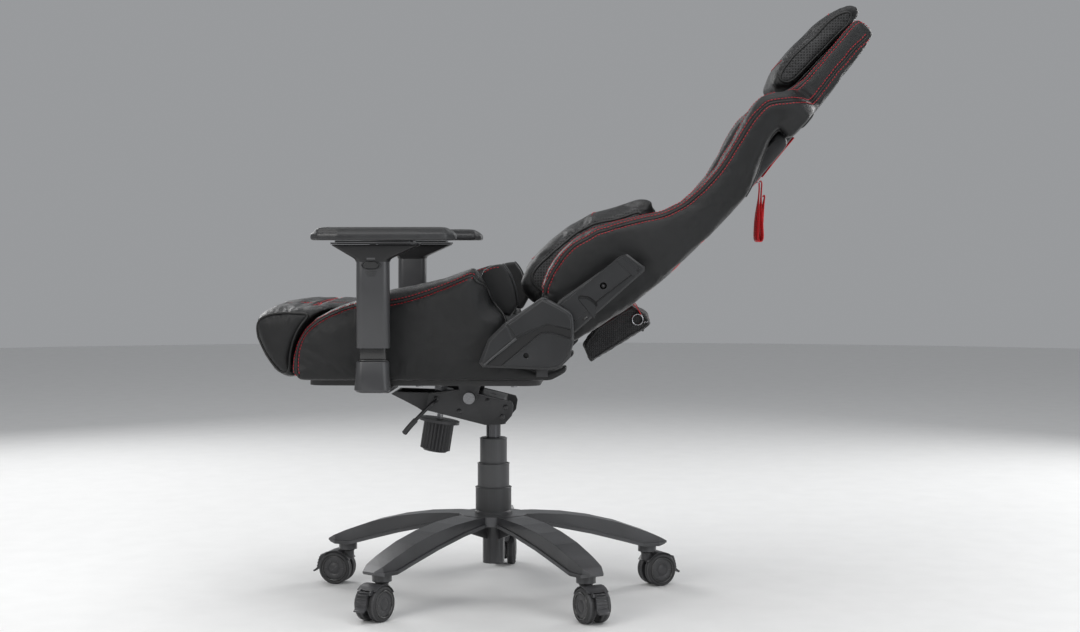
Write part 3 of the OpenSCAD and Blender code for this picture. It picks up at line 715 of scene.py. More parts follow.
def seat_side_field(x, y, z):
    drop = np.where(x > 238, 13 * (np.clip(x - 238, 0, 30) / 24) ** 2.2, 26 * (np.clip(238 - x, 0, 80) / 73) ** 1.7)
    base = sd_poly(FOOT + CROWN, y[0], z[0])
    lifted = np.array([sd_poly(FOOT + CROWN, y[0], z[0] + float(d)) for d in drop.ravel()])
    low = step01((z - 470) / 50)
    p = base[None] * (1 - low) + lifted * low
    face = 257.5 + 3.6 * step01(-base[None] / 30)
    top = 5 + 15 * step01((z - 480) / 60)
    d = smax(p, x - face, top)
    d = smax(d, 165.2 - x, 4 + 8 * step01((z - 540) / 30))
    return smax(d, np.where(x < 214, y - 40 - 0.1 * (x - 165), -50), 8)


seat_seam = [(-338, 433), (-337, 478), (-325, 512), (-300, 536), (-260, 556), (-226, 566), (-164, 571), (-122, 581),
    (-73, 598), (-9, 625)]
seat_rear_seam = [(-10, 628), (2, 604), (16, 571), (36, 548), (39, 530), (42, 500)]
seat_top_row = [(-330, 512), (-300, 538), (-260, 559), (-226, 571), (-164, 589), (-122, 598), (-73, 610),
    (-25, 630)]
for side_name, sgn in (("left", 1), ("right", -1)):
    obj = soft(f"bolster_{side_name}", seat_side_field, (160, -352, 426), (264, 156, 640),
        [M["leather"]], cell=4.5, rounds=4, mirror=sgn < 0, subdiv=0)
    puff(obj, pressure=2.6, cap=0.004, steps=14, shrink=-0.01,
        pin=lambda c: np.clip((0.449 - c[:, 2]) / 0.012, 0, 1) + (c[:, 1] > 0.06))
    apply_mod(obj, "SUBSURF", levels=1, render_levels=1)
    at = lambda pts, x: [Vector((p.x * sgn, p.y, p.z)) for p in mm(wide(pts, x))]
    tree = tree_of(obj)
    seam, _ = lay_on(tree, at(seat_seam, 270), (-sgn, 0, 0))
    seam = soften(seam, 4)
    rear, _ = lay_on(tree, at(seat_rear_seam, 270), (-sgn, 0, 0))
    crumple(obj, 0.0011, 0.075, seed=3.0 + sgn, mask=lambda c: np.clip((c[:, 2] - 0.44) / 0.03, 0, 1))
    crumple(obj, 0.0016, 0.05, (1, 0.5, 1), seed=9.0 + sgn, ridged=0.8,
        mask=lambda c: np.exp(-((c[:, 1] + 0.30) / 0.06) ** 2) * np.clip((c[:, 2] - 0.46) / 0.05, 0, 1))
    crease(obj, seam, 0.0026, 0.0042, gathers=0.0007, pitch=0.017, reach=0.016, seed=sgn)
    crease(obj, soften(rear, 4), 0.0022, 0.0040)
    tree = tree_of(obj)
    double_seam(f"seat_seam_{side_name}", tree, seam, (-sgn, 0, 0), "seat", gap=0.0058,
        cord=0.0018)
    row, rn = lay_on(tree, [Vector((sgn * (0.214 - 0.008 * i / 90), p.y,
        p.z + 0.05)) for i, p in enumerate(mm(wide(seat_top_row, 0)))],
        (0, 0, -1))
    done(stitches(f"bolster_top_stitch_{side_name}", soften(row, 3), rn, M["thread"]), "seat", "webbing_red")
    piping(f"bolster_rear_piping_{side_name}", tree, soften(rear, 4), "seat", 0.0022,
        direction=(-sgn, 0, 0))
    done(obj, "seat", "leather_black", f"seat_side_{side_name}", fill=0.85)

    flap_line = [(-30, 560), (-14, 606), (-4, 630), (12, 638.5), (31, 641), (43.5, 623.5), (53.5, 596), (58.5, 567),
        (46, 545)]
    flap = soft(f"bolster_flap_{side_name}", lambda x, y, z: smax(sd_poly(flap_line, y[0], z[0])[None],
        abs(x - 184) - 15, 3.2),
        (168, -40, 540), (202, 62, 644), [M["leather_top"]], cell=3, mirror=sgn < 0)
    ftree = tree_of(flap)
    top, tn = lay_on(ftree, [Vector((sgn * 0.194, p.y, p.z)) for p in mm(wide([(-5, 623), (4, 630), (13, 633.5),
        (28, 635)], 0))],
        (-sgn, 0, 0))
    done(stitches(f"flap_stitch_{side_name}", soften(top, 3), tn, M["thread"]), "seat", "webbing_red")
    rear_edge = mm(wide([(30, 641), (43, 625), (54, 596), (59, 566)], 0))
    piping(f"flap_piping_{side_name}", ftree, [Vector((sgn * 0.186, p.y, p.z)) for p in rear_edge],
        "seat", 0.0022, mat="leather_grey")
    done(flap, "seat", "leather_black", fill=0.9)

# ---------------------------------------------------------------- seat: cushion
CUSHION = [(-408, 474), (-389, 446), (-368, 431), (52, 431), (52, 524), (44, 534), (-40, 546), (-150, 558),
    (-298, 566), (-354, 564), (-401, 557), (-420, 548), (-425, 531), (-421, 506)]


def cushion_field(x, y, z):
    p = sd_poly(CUSHION, y[0], z[0])[None]
    main = smax(p, abs(x) - 162.5, 9)
    dome = 7 * np.clip(1 - (x / 160) ** 2, 0, 1) ** 0.5 * step01((z - 480) / 40)
    main = main - dome + 3
    bolster = sd_poly(FOOT + CROWN, y[0], z[0])[None]
    end = smax(p + 2 + 8 * step01((abs(x) - 195) / 40), 5.5 - bolster, 6)
    end = smax(end, y + 286, 6)
    return smin(main, smax(end, abs(x) - 231, 20), 6)


cushion = soft("seat_pad", cushion_field, (-234, -428, 428), (234, 54, 574), [M["leather_top"]], cell=5, rounds=3,
    subdiv=0)
puff(cushion, pressure=3.2, cap=0.006, steps=14,
    pin=lambda c: np.clip((0.452 - c[:, 2]) / 0.012, 0, 1) + (c[:, 1] > 0.03) + (np.abs(c[:, 0]) > 0.156) * (c[:,
    1] > -0.35))
apply_mod(cushion, "SUBSURF", levels=1, render_levels=1)
crumple(cushion, 0.0016, 0.09, seed=21.0)
tree = tree_of(cushion)
edge_loop = [(-415, 508), (-417, 527), (-410, 541), (-396, 547), (-372, 551), (-340, 551), (-318, 549)]
edge_low = [(-318, 549), (-333, 532), (-347, 506), (-355, 474), (-357, 448), (-367, 441), (-384, 456), (-402, 481),
    (-415, 508)]
for side_name, sgn in (("left", 1), ("right", -1)):
    loop = [Vector((sgn * 0.24, p[1] * 0.001, p[2] * 0.001)) for p in wide(edge_loop + edge_low[1:], 240)]
    hits, _ = lay_on(tree, loop, (-sgn, 0, 0))
    hits = soften(hits, 4)
    crease(cushion, hits, 0.0016, 0.004, gathers=0.0007, pitch=0.014, reach=0.024, seed=2 * sgn)
    tree = tree_of(cushion)
    piping(f"front_roll_piping_{side_name}", tree, hits, "seat", 0.0026,
        direction=(-sgn, 0, 0))
cross = [Vector((x * 0.001, -0.300 - 0.00012 * abs(x), 0.62)) for x in np.linspace(-160, 160, 50)]
runs = {"cross": cross}
for label, x in (("run_left", 0.112), ("run_right", -0.112)):
    runs[label] = [Vector((x, y, 0.62)) for y in np.linspace(-0.40, 0.02, 60)]
DOWN = (0, 0, -1)
for pts in runs.values():
    crease(cushion, lay_on(tree, pts, DOWN)[0], 0.0040, 0.0060, gathers=0.0006, pitch=0.02)
    tree = tree_of(cushion)
for label, pts in runs.items():
    double_seam(f"seat_{label}", tree, pts, DOWN, "seat", gap=0.0055)
done(cushion, "seat", "leather_black", "seat_cushion", fill=0.85)

# ---------------------------------------------------------------- backrest, in its own upright frame
WING_FRONT = [(-18, 560), (-12, 530), (2, 479), (12, 435), (16, 400), (12, 350), (-2, 312), (-20, 285), (-46, 243),
    (-68, 202), (-80, 161), (-81, 129), (-75, 94), (-64, 66), (-46, 44)]
WING = [(-20, 32), (22, 26), (48, 30), (62, 90), (76, 150), (86, 240), (89, 338), (87, 432), (75, 463), (60, 497),
    (46, 533), (43, 557), (45, 581), (62, 600), (60, 626), (40, 632), (15, 618), (-4, 600), (-16, 580)] + WING_FRONT
HEAD_WING = [(72, 560), (72, 627), (66, 705), (60, 770), (52, 808), (44, 814), (14, 816), (8, 808), (9, 764),
    (13, 717), (17, 668), (14, 640), (4, 600), (-6, 560)]
WING_PLAN = [(200.6, 22), (252, 24), (261, 40), (262, 80), (262, 572), (260, 592), (252, 612), (234, 627),
    (212, 633), (194, 638), (180, 650), (172, 668), (169, 700), (167, 740), (163, 796), (152, 814), (129, 815),
    (129, 560), (200.6, 558)]
STRIP = [(-18, -12), (-6, -19), (10, -18), (24, -6), (38, 50), (50, 212), (46, 217), (8, 212), (4, 207), (-22, 72)]
VALLEY = [(50, 110), (60, 150), (67, 200), (71, 250), (72, 300), (71, 340), (66, 385), (52, 435), (35, 489),
    (30, 524), (31, 557), (43, 586), (55, 616)]
BACK_INV = np.array(BACK.inverted())


def upright(co):
    """World metres to the backrest's upright frame, mm."""
    return (co @ BACK_INV[:3, :3].T + BACK_INV[:3, 3]) * 1000


def polyline_far(pts, y, z):
    p = smooth_line(pts, step=4)
    out = np.full(np.broadcast(y, z).shape, 1e3)
    for a, b in p:
        out = np.minimum(out, np.hypot(y - a, z - b))
    return out


def wing_field(x, y, z):
    yy, zz = y[0], z[0]
    prof = np.minimum(sd_poly(WING, yy, zz), sd_poly(HEAD_WING, yy, zz))[None]
    plan = sd_poly(WING_PLAN, x[:, :, 0], z[0, 0][None, :])[:, None, :]
    near = np.exp(-(np.clip(sd_poly(STRIP, yy, zz), 0, 200) / 17) ** 2)[None]
    valley = np.exp(-(polyline_far(VALLEY, yy, zz) / 11) ** 2)[None]
    swell = step01(-prof / 34)
    face = 256.5 + 4.8 * swell - 6.5 * near - 5.0 * valley * step01((zz - 90) / 60)[None]
    r = 7 + 10 * step01((40 - yy) / 40)[None]
    d = smax(prof, plan, r)
    return smax(d, np.where(z < 600, x - face, -50), r)


BACK_SEAM = [(262, -52, 53), (262, -63, 70), (262, -73, 94), (262, -78, 129), (262, -76, 161), (262, -64, 204),
    (262, -42, 245), (262, -16, 287), (262, 2, 313), (262, 17, 361), (262, 20, 400), (262, 18, 435), (262, 9, 479),
    (262, 1, 520), (262, -2, 548), (260, -2, 572), (257, 10, 590), (250, 25, 604), (228, 46, 625), (200, 54, 634),
    (182, 57, 648), (173, 53, 674), (170, 48, 723), (167, 46, 767), (162, 48, 804)]
HEAD_FRONT = [(214, 8, 628), (190, 16, 640), (172, 19, 656), (167, 18, 676), (165, 13, 717), (163, 10, 764),
    (156, 10, 802), (146, 20, 815), (140, 45, 815)]
ROLL_ROW = [(236, -58, 60), (236, -78, 100), (236, -83, 150), (236, -66, 206), (236, -38, 255), (236, -6, 305),
    (236, 10, 345), (236, 14, 400), (236, 8, 450), (236, -4, 500), (236, -15, 545), (234, -17, 575), (226, -2, 606)]
for side_name, sgn in (("left", 1), ("right", -1)):
    flipx = lambda pts: [(p[0] * sgn, p[1], p[2]) for p in pts]
    wing = soft(f"wing_{side_name}", wing_field, (124, -88, 20), (266, 94, 820), [M["leather"]],
        matrix=BACK, cell=4.8, rounds=4, mirror=sgn < 0, subdiv=0)

    def wing_pin(c):
        u = upright(c)
        across, up = np.abs(u[:, 0]), u[:, 2]
        return ((across < 206) & (up < 560)) * 1.0 + (across < 134) * 1.0 + (up < 60) * 1.0
    puff(wing, pressure=2.2, cap=0.003, steps=12, shrink=-0.01, pin=wing_pin)
    apply_mod(wing, "SUBSURF", levels=1, render_levels=1)
    crumple(wing, 0.0012, 0.09, seed=31 + sgn)
    tree = tree_of(wing)

    def on_wing(line):
        return snap(tree, even(bl(flipx(smooth_line(line, step=6))), 0.004))
    seam = soften(on_wing(BACK_SEAM)[0], 4)
    front = soften(on_wing(HEAD_FRONT)[0], 3)
    crease(wing, seam, 0.0026, 0.0042, gathers=0.0006, pitch=0.018, reach=0.015, seed=sgn)
    crease(wing, front, 0.0018, 0.0036)
    shoulder = snap(tree, even(bl(flipx([(196, y, 640) for y in range(8, 60, 4)])), 0.004))[0]
    crease(wing, shoulder, 0.0022, 0.0032)
    tree = tree_of(wing)
    double_seam(f"back_seam_{side_name}", tree, seam, None, "back", gap=0.0058, cord=0.0018)
    double_seam(f"head_seam_{side_name}", tree, front, None, "back", gap=0.0050, cord=0.0014)
    row, rn = on_wing(ROLL_ROW)
    done(stitches(f"wing_front_stitch_{side_name}", soften(row, 3), rn, M["thread"]), "back", "webbing_red")
    done(tube(f"shoulder_cord_{side_name}", soften(snap(tree, shoulder)[0], 2), 0.0013, M["piping"], sides=8),
        "back", "leather_black")
    edge = [(232, 88, 432), (230, 75, 463), (230, 60, 497), (230, 46, 533), (230, 43, 557), (230, 46, 581),
        (226, 64, 604), (214, 66, 622)]
    hits = soften(on_wing(edge)[0], 3)
    done(tube(f"rear_edge_cord_{side_name}", hits, 0.0026, M["piping"]), "back", "leather_black")
    red = [(206, 69, 120), (206, 78, 165), (206, 84, 219), (206, 88, 277), (206, 90, 338), (206, 89, 373),
        (206, 88, 433), (206, 84, 486)]
    hits, hn = on_wing(red)
    done(tube(f"rear_red_piping_{side_name}", [Vector(p) + n * 0.0015 for p, n in zip(soften(hits, 3), hn)], 0.0016,
        M["red_web"]),
        "back", "webbing_red")
    done(wing, "back", "leather_black", f"back_side_{side_name}", fill=0.85)

PAD_SIDE = [(18, 34), (44, 115), (46, 300), (46, 560), (42, 640), (36, 806), (28, 813), (20, 812), (15, 804),
    (15, 640), (20, 559), (22, 500), (28, 400), (20, 330), (9, 300), (-5, 250), (-30, 120), (-24, 50), (-16, 36)]
PLAN = [(-199, 33), (199, 33), (199, 557), (127, 561), (127, 813), (-127, 813), (-127, 561), (-199, 557)]


def pad_field(x, y, z):
    plan = sd_poly(PLAN, x[:, :, 0], z[0, 0][None, :])[:, None, :]
    return smax(sd_poly(PAD_SIDE, y[0], z[0])[None] + 2.5 * step01((np.abs(x) - 120) / 80), plan, 9)


back_pad = soft("back_cushion", pad_field, (-202, -36, 30), (202, 52, 818), [M["leather_top"]], matrix=BACK, cell=5,
    rounds=3)
tree = tree_of(back_pad)
toward = BACK.to_3x3() @ Vector((0, 1, 0))
lines = {"run_left": [(102, -40, s) for s in range(60, 790, 8)],
    "run_right": [(-102, -40, s) for s in range(60, 790, 8)]}
for i, s0 in enumerate((345, 400, 455, 510)):
    lines[f"channel_{i + 1}"] = [(x, -40, s0 + 8 * (x / 100) ** 2) for x in range(-100, 101, 8)]
for label, pts in lines.items():
    hits = soften(lay_on(tree, bl(pts), toward)[0], 3)
    crease(back_pad, hits, 0.0045, 0.0075)
tree = tree_of(back_pad)
for label, pts in lines.items():
    if "run" in label:
        double_seam(f"back_{label}", tree, bl(pts), toward, "back", gap=0.0055)
    else:
        places, normals = lay_on(tree, bl(pts), toward)
        done(stitches(f"back_{label}", soften(places, 2), normals, M["thread_black"]), "back", "leather_black")
done(back_pad, "back", "leather_black", "back_pad", fill=0.8)

REAR = [(50, 70), (56, 70), (68, 113), (78, 164), (84, 219), (88, 277), (89, 338), (88, 373), (87, 433), (79, 560),
    (72, 627), (66, 705), (62, 755), (54, 806), (46, 812), (40, 808), (44, 751), (56, 627), (66, 559), (70, 433),
    (70, 277), (68, 219), (66, 164), (60, 113)]
PLAN_REAR = [(-199, 69), (199, 69), (199, 556), (127, 561), (127, 812), (-127, 812), (-127, 561), (-199, 556)]


def rear_field(x, y, z):
    plan = sd_poly(PLAN_REAR, x[:, :, 0], z[0, 0][None, :])[:, None, :]
    shell = smax(sd_poly(REAR, y[0], z[0])[None], plan, 6)
    side_wall = sd_poly([(48, 452), (48, 558), (60, 566), (76, 556), (82, 470), (80, 440), (66, 440)], y[0],
        z[0])[None]
    side_wall = smax(smax(side_wall, np.abs(x) - 199, 8), 176 - np.abs(x), 5)
    return smin(shell, side_wall, 3)


rear = soft("rear_cover", rear_field, (-202, 34, 66), (202, 93, 816), [M["leather_grey"]], matrix=BACK, cell=4.6,
    rounds=3)
tree = tree_of(rear)
from_rear = -toward
arch = [(x, 120, 560 - 60 * (x / 190) ** 2) for x in range(-188, 189, 8)]
lower = [(x, 120, 190 + 0.12 * abs(x)) for x in range(-192, 193, 8)]
for label, pts in (("arch", arch), ("lower", lower)):
    crease(rear, soften(lay_on(tree, bl(pts), from_rear)[0], 3), 0.003, 0.004)
tree = tree_of(rear)
for label, pts in (("arch", arch), ("lower", lower)):
    double_seam(f"rear_{label}", tree, bl(pts), from_rear, "back", gap=0.005)
done(rear, "back", "leather_grey", "rear_panel")

# ---------------------------------------------------------------- pillows
LUMBAR = [(-16, 309), (-26, 316), (-38, 310), (-44, 294), (-64, 256), (-87, 219), (-102, 173), (-109, 120),
    (-110, 63), (-99, 30), (-80, 22), (-45, 26), (-32, 50), (-37, 120), (-12, 250), (0, 296)]
HEAD = [(14, 640), (14, 800), (8, 834), (-2, 836), (-15, 831), (-24, 815), (-31, 790), (-35, 766), (-36, 690),
    (-32, 650), (-26, 628), (-19, 616), (-6, 618)]


def inner_loop(pts, k, cy, cz):
    return [(cy + (p[0] - cy) * k, cz + (p[1] - cz) * k) for p in pts]


def pillow(name, outline, half, r, body, node_name, centre, lo, hi, press, cap, k):
    field = lambda x, y, z: smax(sd_poly(outline, y[0], z[0])[None] + 1.5, abs(x) - half, r)
    obj = soft(name, field, lo, hi, [M["leather_top"], M["spacer"]], matrix=BACK, cell=4.6, rounds=4, subdiv=0)
    flat_from = ((50, 120, 250, 300), (-40, -42, -16, -8)) if body == "lumbar" else ((0, 1), (8, 8))

    def lies_flat(c):
        u = upright(c)
        return (u[:, 1] > np.interp(u[:, 2], *flat_from)) * 1.0
    puff(obj, pressure=press, cap=cap, steps=16, pin=lies_flat)
    apply_mod(obj, "SUBSURF", levels=1, render_levels=1)
    crumple(obj, 0.0013, 0.06, seed=half * 0.31)
    tree = tree_of(obj)
    rims = []
    for sgn in (1, -1):
        loop = [(sgn * (half + 4), p[0], p[1]) for p in smooth_line(inner_loop(outline, k, *centre), True, 5)]
        rim = soften(snap(tree, bl(loop + loop[:1]))[0], 2)
        crease(obj, rim, 0.0018, 0.0034, gathers=0.0009, pitch=0.011, reach=0.02, seed=sgn)
        rims.append(rim)
    u = upright(np.array([p.center for p in obj.data.polygons]))
    inside = sd_poly(inner_loop(outline, k, *centre), u[:, 1], u[:, 2]) < 0
    obj.data.polygons.foreach_set("material_index", ((np.abs(u[:, 0]) > half - r * 0.7) & inside).astype(np.int32))
    tree = tree_of(obj)
    for sgn, rim in zip((1, -1), rims):
        label = "left" if sgn > 0 else "right"
        piping(f"{name}_piping_{label}", tree, rim, body, 0.0024)
    done(obj, body, "leather_black", node_name, fill=0.9)
    return tree


lumbar_tree = pillow("lumbar_cushion", LUMBAR, 152, 24, "lumbar", "lumbar_pillow", (-58, 168), (-158, -118, 14),
    (158, 8, 326), 5, 0.008, 0.80)
head_tree = pillow("head_cushion", HEAD, 118, 20, "head", "head_pillow", (-12, 726), (-126, -44, 606),
    (126, 20, 844), 4, 0.006, 0.82)
for name, tr, body, rows in (("lumbar_cross", lumbar_tree, "lumbar", (90, 215)), ("head_cross", head_tree, "head",
        (668, 786))):
    for i, s0 in enumerate(rows):
        half = 128 if body == "lumbar" else 96
        pts = [(x, -140, s0 + (1 if i else -1) * 14 * (1 - (x / half) ** 2)) for x in range(-half, half + 1, 6)]
        places, normals = lay_on(tr, bl(pts), toward)
        done(stitches(f"{name}_{i + 1}", soften(places, 3), normals, M["thread"]), body, "webbing_red")

# ---------------------------------------------------------------- hard covers in stacked, bevelled plates


def inset(pts, d):
    """An outline and the same outline moved inwards by d."""
    p = np.asarray(pts, float)
    area = 0.5 * np.sum(p[:, 0] * np.roll(p[:, 1], -1) - np.roll(p[:, 0], -1) * p[:, 1])
    if area < 0:
        p = p[::-1]
    e = np.roll(p, -1, axis=0) - p
    e /= np.linalg.norm(e, axis=1)[:, None]
    n = np.stack([-e[:, 1], e[:, 0]], axis=1)
    before = np.roll(n, 1, axis=0)
    m = (n + before) / np.maximum(1 + (n * before).sum(1), 0.5)[:, None]
    return p, p + m * d


def plate(outline, x0, x1, bevel, sgn=1):
    """A slab of a [y, z] outline between two x, its outer face edges cut back by bevel."""
    out, inn = inset(outline, bevel)
    n = len(out)
    verts = [(sgn * x0, *p) for p in out] + [(sgn * (x1 - bevel * 0.8), *p) for p in out] + [(sgn * x1,
        *p) for p in inn]
    faces = ring_faces(3, n)
    return verts, faces if sgn > 0 else flipped(faces)


def cylinder_x(cy, cz, r, x0, x1, sides=32):
    verts = [(x, cy + c, cz + s) for x in (x0, x1) for c, s in circle(r, sides)]
    faces = ring_faces(2, sides)
    return verts, faces if x1 > x0 else flipped(faces)


def join(name, objs, bevel=0.0005, angle=28):
    bm = bmesh.new()
    mats = []
    for o in objs:
        first = len(bm.faces)
        offset = len(mats)
        bm.from_mesh(o.data)
        bm.faces.ensure_lookup_table()
        for f in bm.faces[first:]:
            f.material_index += offset
        mats += list(o.data.materials)
        bpy.data.objects.remove(o)
    me = bpy.data.meshes.new(name)
    bm.to_mesh(me)
    bm.free()
    for m in mats:
        me.materials.append(m)
    obj = link(bpy.data.objects.new(name, me))
    if bevel:
        apply_mod(obj, "BEVEL", width=bevel, segments=2, limit_method="ANGLE", angle_limit=math.radians(angle),
            harden_normals=True,
            use_clamp_overlap=False)
    return obj


def scaled(data, name, mat, matrix=IDENT):
    """A mesh from (verts in mm, faces)."""
    return mesh_obj(name, [Vector(v) * 0.001 for v in data[0]], data[1], mat, matrix=matrix)


def slab(outline, x0, x1, bevel, sgn, mat, matrix=IDENT):
    return scaled(plate(outline, x0, x1, bevel, sgn), "slab", M[mat], matrix)


def cut(obj, cutter_data, matrix=IDENT):
    tool = scaled(cutter_data, "cutter", M["black"], matrix)
    apply_mod(obj, "BOOLEAN", operation="DIFFERENCE", solver="EXACT", object=tool)
    bpy.data.objects.remove(tool)


COVER = [(-5, 467), (2, 459), (119, 454), (139, 458), (156, 475), (163, 504), (163, 543), (156, 558), (122, 577),
    (107, 583), (41, 538), (12, 509)]
LEFT_FACET = [(-0.5, 467), (3.5, 464), (56, 508), (46, 531), (42, 533), (15, 507)]
RIDGE = [(2.5, 464), (5.5, 461.8), (63, 508), (60, 512)]
BAND = [(9, 462.6), (34.5, 461.4), (104.5, 520.5), (123, 522), (158.6, 511), (158.6, 526), (117, 535), (62, 511)]
UPPER_FACET = [(48, 535), (60, 514), (116, 537), (159, 527), (158.5, 542), (153, 554), (120, 572), (107.5, 577.5)]
LOWER_PANEL = [(36, 462), (106, 519), (123, 520), (159, 509), (158.5, 504), (152, 477.5), (137.5, 462.5),
    (119, 458.8)]
for side_name, sgn in (("left", 1), ("right", -1)):
    body_plate = slab(COVER, 271.5, 297.5, 4.2, sgn, "cover")
    panel = slab(LOWER_PANEL, 290, 300.6, 0.9, sgn, "cover")
    for o in (body_plate, panel):
        cut(o, cylinder_x(79, 480, 4.6, sgn * 262, sgn * 310))
    parts = [body_plate, panel]
    # the ridge plate takes the lighter grey as a painted highlight along its edge
    for outline, x, bevel, mat in ((LEFT_FACET, 299.2, 1.6, "cover"), (RIDGE, 301.2, 1.3, "cover_painted_highlight"),
            (UPPER_FACET, 299.6, 1.2, "cover"), (BAND, 298.1, 0.5, "cover_dark")):
        parts.append(slab(outline, 290, x, bevel, sgn, mat))
    cover = join(f"hinge_shell_{side_name}", parts, 0.0007)
    done(cover, "seat", "plastic_black", f"hinge_cover_{side_name}")
    # a thin tube of lighter grey along the cover's rim: a painted highlight, not a part of the cover
    edge = [(42.5, 536.5), (75, 558.5), (107, 580.5), (121, 574.8), (154, 556), (160.8, 542.5), (160.8, 504.5),
        (157, 488)]
    rim = tube(f"hinge_rim_highlight_{side_name}", side_pts(sgn * 295.5, smooth_line(edge, step=2)), 0.0011, M["cover_painted_highlight"],
        sides=8)
    done(rim, "seat", "plastic_black")

    # back strip: bolt hole, slot, stepped end and the round print of the recliner under it
    blade = slab(STRIP, 271.3, 282.6, 3.0, sgn, "cover", BACK)
    face_line = [(-15, 66), (0, 200), (6, 209), (41, 209), (27, 118), (24, 62)]
    face = slab(face_line, 276, 283.4, 0.9, sgn, "cover", BACK)
    for o in (blade, face):
        cut(o, cylinder_x(16, 142, 6.2, sgn * 276.5, sgn * 292), BACK)
    step = slab([(2, 190), (44, 190), (47, 203), (5, 203)], 276, 284.4, 0.8, sgn, "cover", BACK)
    # the dark arc beside the raised print disc is painted shade along the disc's edge
    hub_y, hub_z = 21, 84
    turn = [math.radians(a) for a in range(20, 151, 5)]
    arc_shade_pts = [(sgn * 283.2, hub_y + 27 * math.cos(a), hub_z + 27 * math.sin(a)) for a in turn]
    arc = tube("d", bl([p for p in arc_shade_pts if p[1] < 34 and p[2] > 86]), 0.0017, M["cover_dark"], sides=8)
    disc_line = [(hub_y + 24 * math.cos(t), hub_z + 24 * math.sin(t)) for t in np.linspace(0.2, 2.7, 16)]
    print_disc = slab(disc_line, 276, 283.7, 0.4, sgn, "cover", BACK)
    # the dark line along the face plate's edge is painted shade at that step
    edge_shade_line = bl([(sgn * 283.1, y, z) for y, z in ((27.5, 112), (33, 155), (40.5, 206))])
    edge_shade = tube("g", edge_shade_line, 0.0008, M["cover_dark"], sides=6)
    strip = join(f"back_blade_{side_name}", [blade, face, step, arc, print_disc, edge_shade], 0.0007)
    spacer = slab([(-12, 78), (32, 78), (43, 208), (13, 204)], 262.4, 272, 0.5, sgn, "black", BACK)
    axle = scaled(cylinder_x(0, 0, 9.9, sgn * 263.6, sgn * 284.6), "f", M["steel_black"], BACK)
    foot = join(f"back_blade_foot_{side_name}", [spacer, axle], 0.0006)
    done(strip, "back", "plastic_black", f"back_strip_{side_name}")
    done(foot, "back", "steel_black")
    head = cylinder_x(16, 142, 5.0, sgn * 276.4, sgn * 279.5, 6)
    done(scaled(head, f"blade_bolt_{side_name}", M["steel_black"], BACK), "back", "bolt_steel")
    mark = bl([(sgn * 283.0, 31.5, 74), (sgn * 283.0, 34, 84)])
    done(tube(f"blade_slot_{side_name}", mark, 0.0016, M["black_gloss"], sides=8), "back", "plastic_black")

# ---------------------------------------------------------------- armrests


def loft(rings, k=10):
    """Rounded rectangles (z, centre x, centre y, half x, half y, corner) joined up a column."""
    verts = []
    for z, cx, cy, hx, hy, r in rings:
        for q, (sx, sy) in enumerate(((1, 1), (-1, 1), (-1, -1), (1, -1))):
            for i in range(k):
                a = math.pi / 2 * (q + i / (k - 1))
                verts.append((cx + sx * (hx - r) + r * math.cos(a), cy + sy * (hy - r) + r * math.sin(a), z))
    return verts, ring_faces(len(rings), 4 * k)


ARM_X, ARM_Y = 305, -191.5       # the arm column's middle, mm
PAD_PLAN = [(-42, -285), (-26, -298.5), (26, -298.5), (42, -285), (50, -249), (50, -104), (38, -58), (22, -44),
    (-22, -44), (-38, -58), (-50, -104), (-50, -249)]
PAD_TOP = [(-296, 688), (-46, 688), (-48, 699), (-66, 707.9), (-268, 707.9), (-286, 705), (-294, 698)]


def arm_pad_field(x, y, z):
    plan = sd_poly(PAD_PLAN, x[:, :, 0] - ARM_X, y[:, :, 0])[:, :, None]
    upper = smax(plan + 3.0, sd_poly(PAD_TOP, y[0], z[0])[None], 4)
    lower = smax(plan, np.abs(z - 690) - 6.2, 2.0)
    dish = 1.6 * np.exp(-((x - ARM_X) / 26) ** 2) * np.exp(-((y + 170) / 80) ** 2)
    return smax(smin(upper, lower, 1.2), z - 707.6 + dish, 3)


def post(cx, rings, name, mat):
    """A loft whose rings are (z, half x, half y, corner) on the column's middle, or carry their own y last."""
    return scaled(loft([(r[0], cx, r[4] if len(r) > 4 else ARM_Y, *r[1:4]) for r in rings]), name, M[mat])


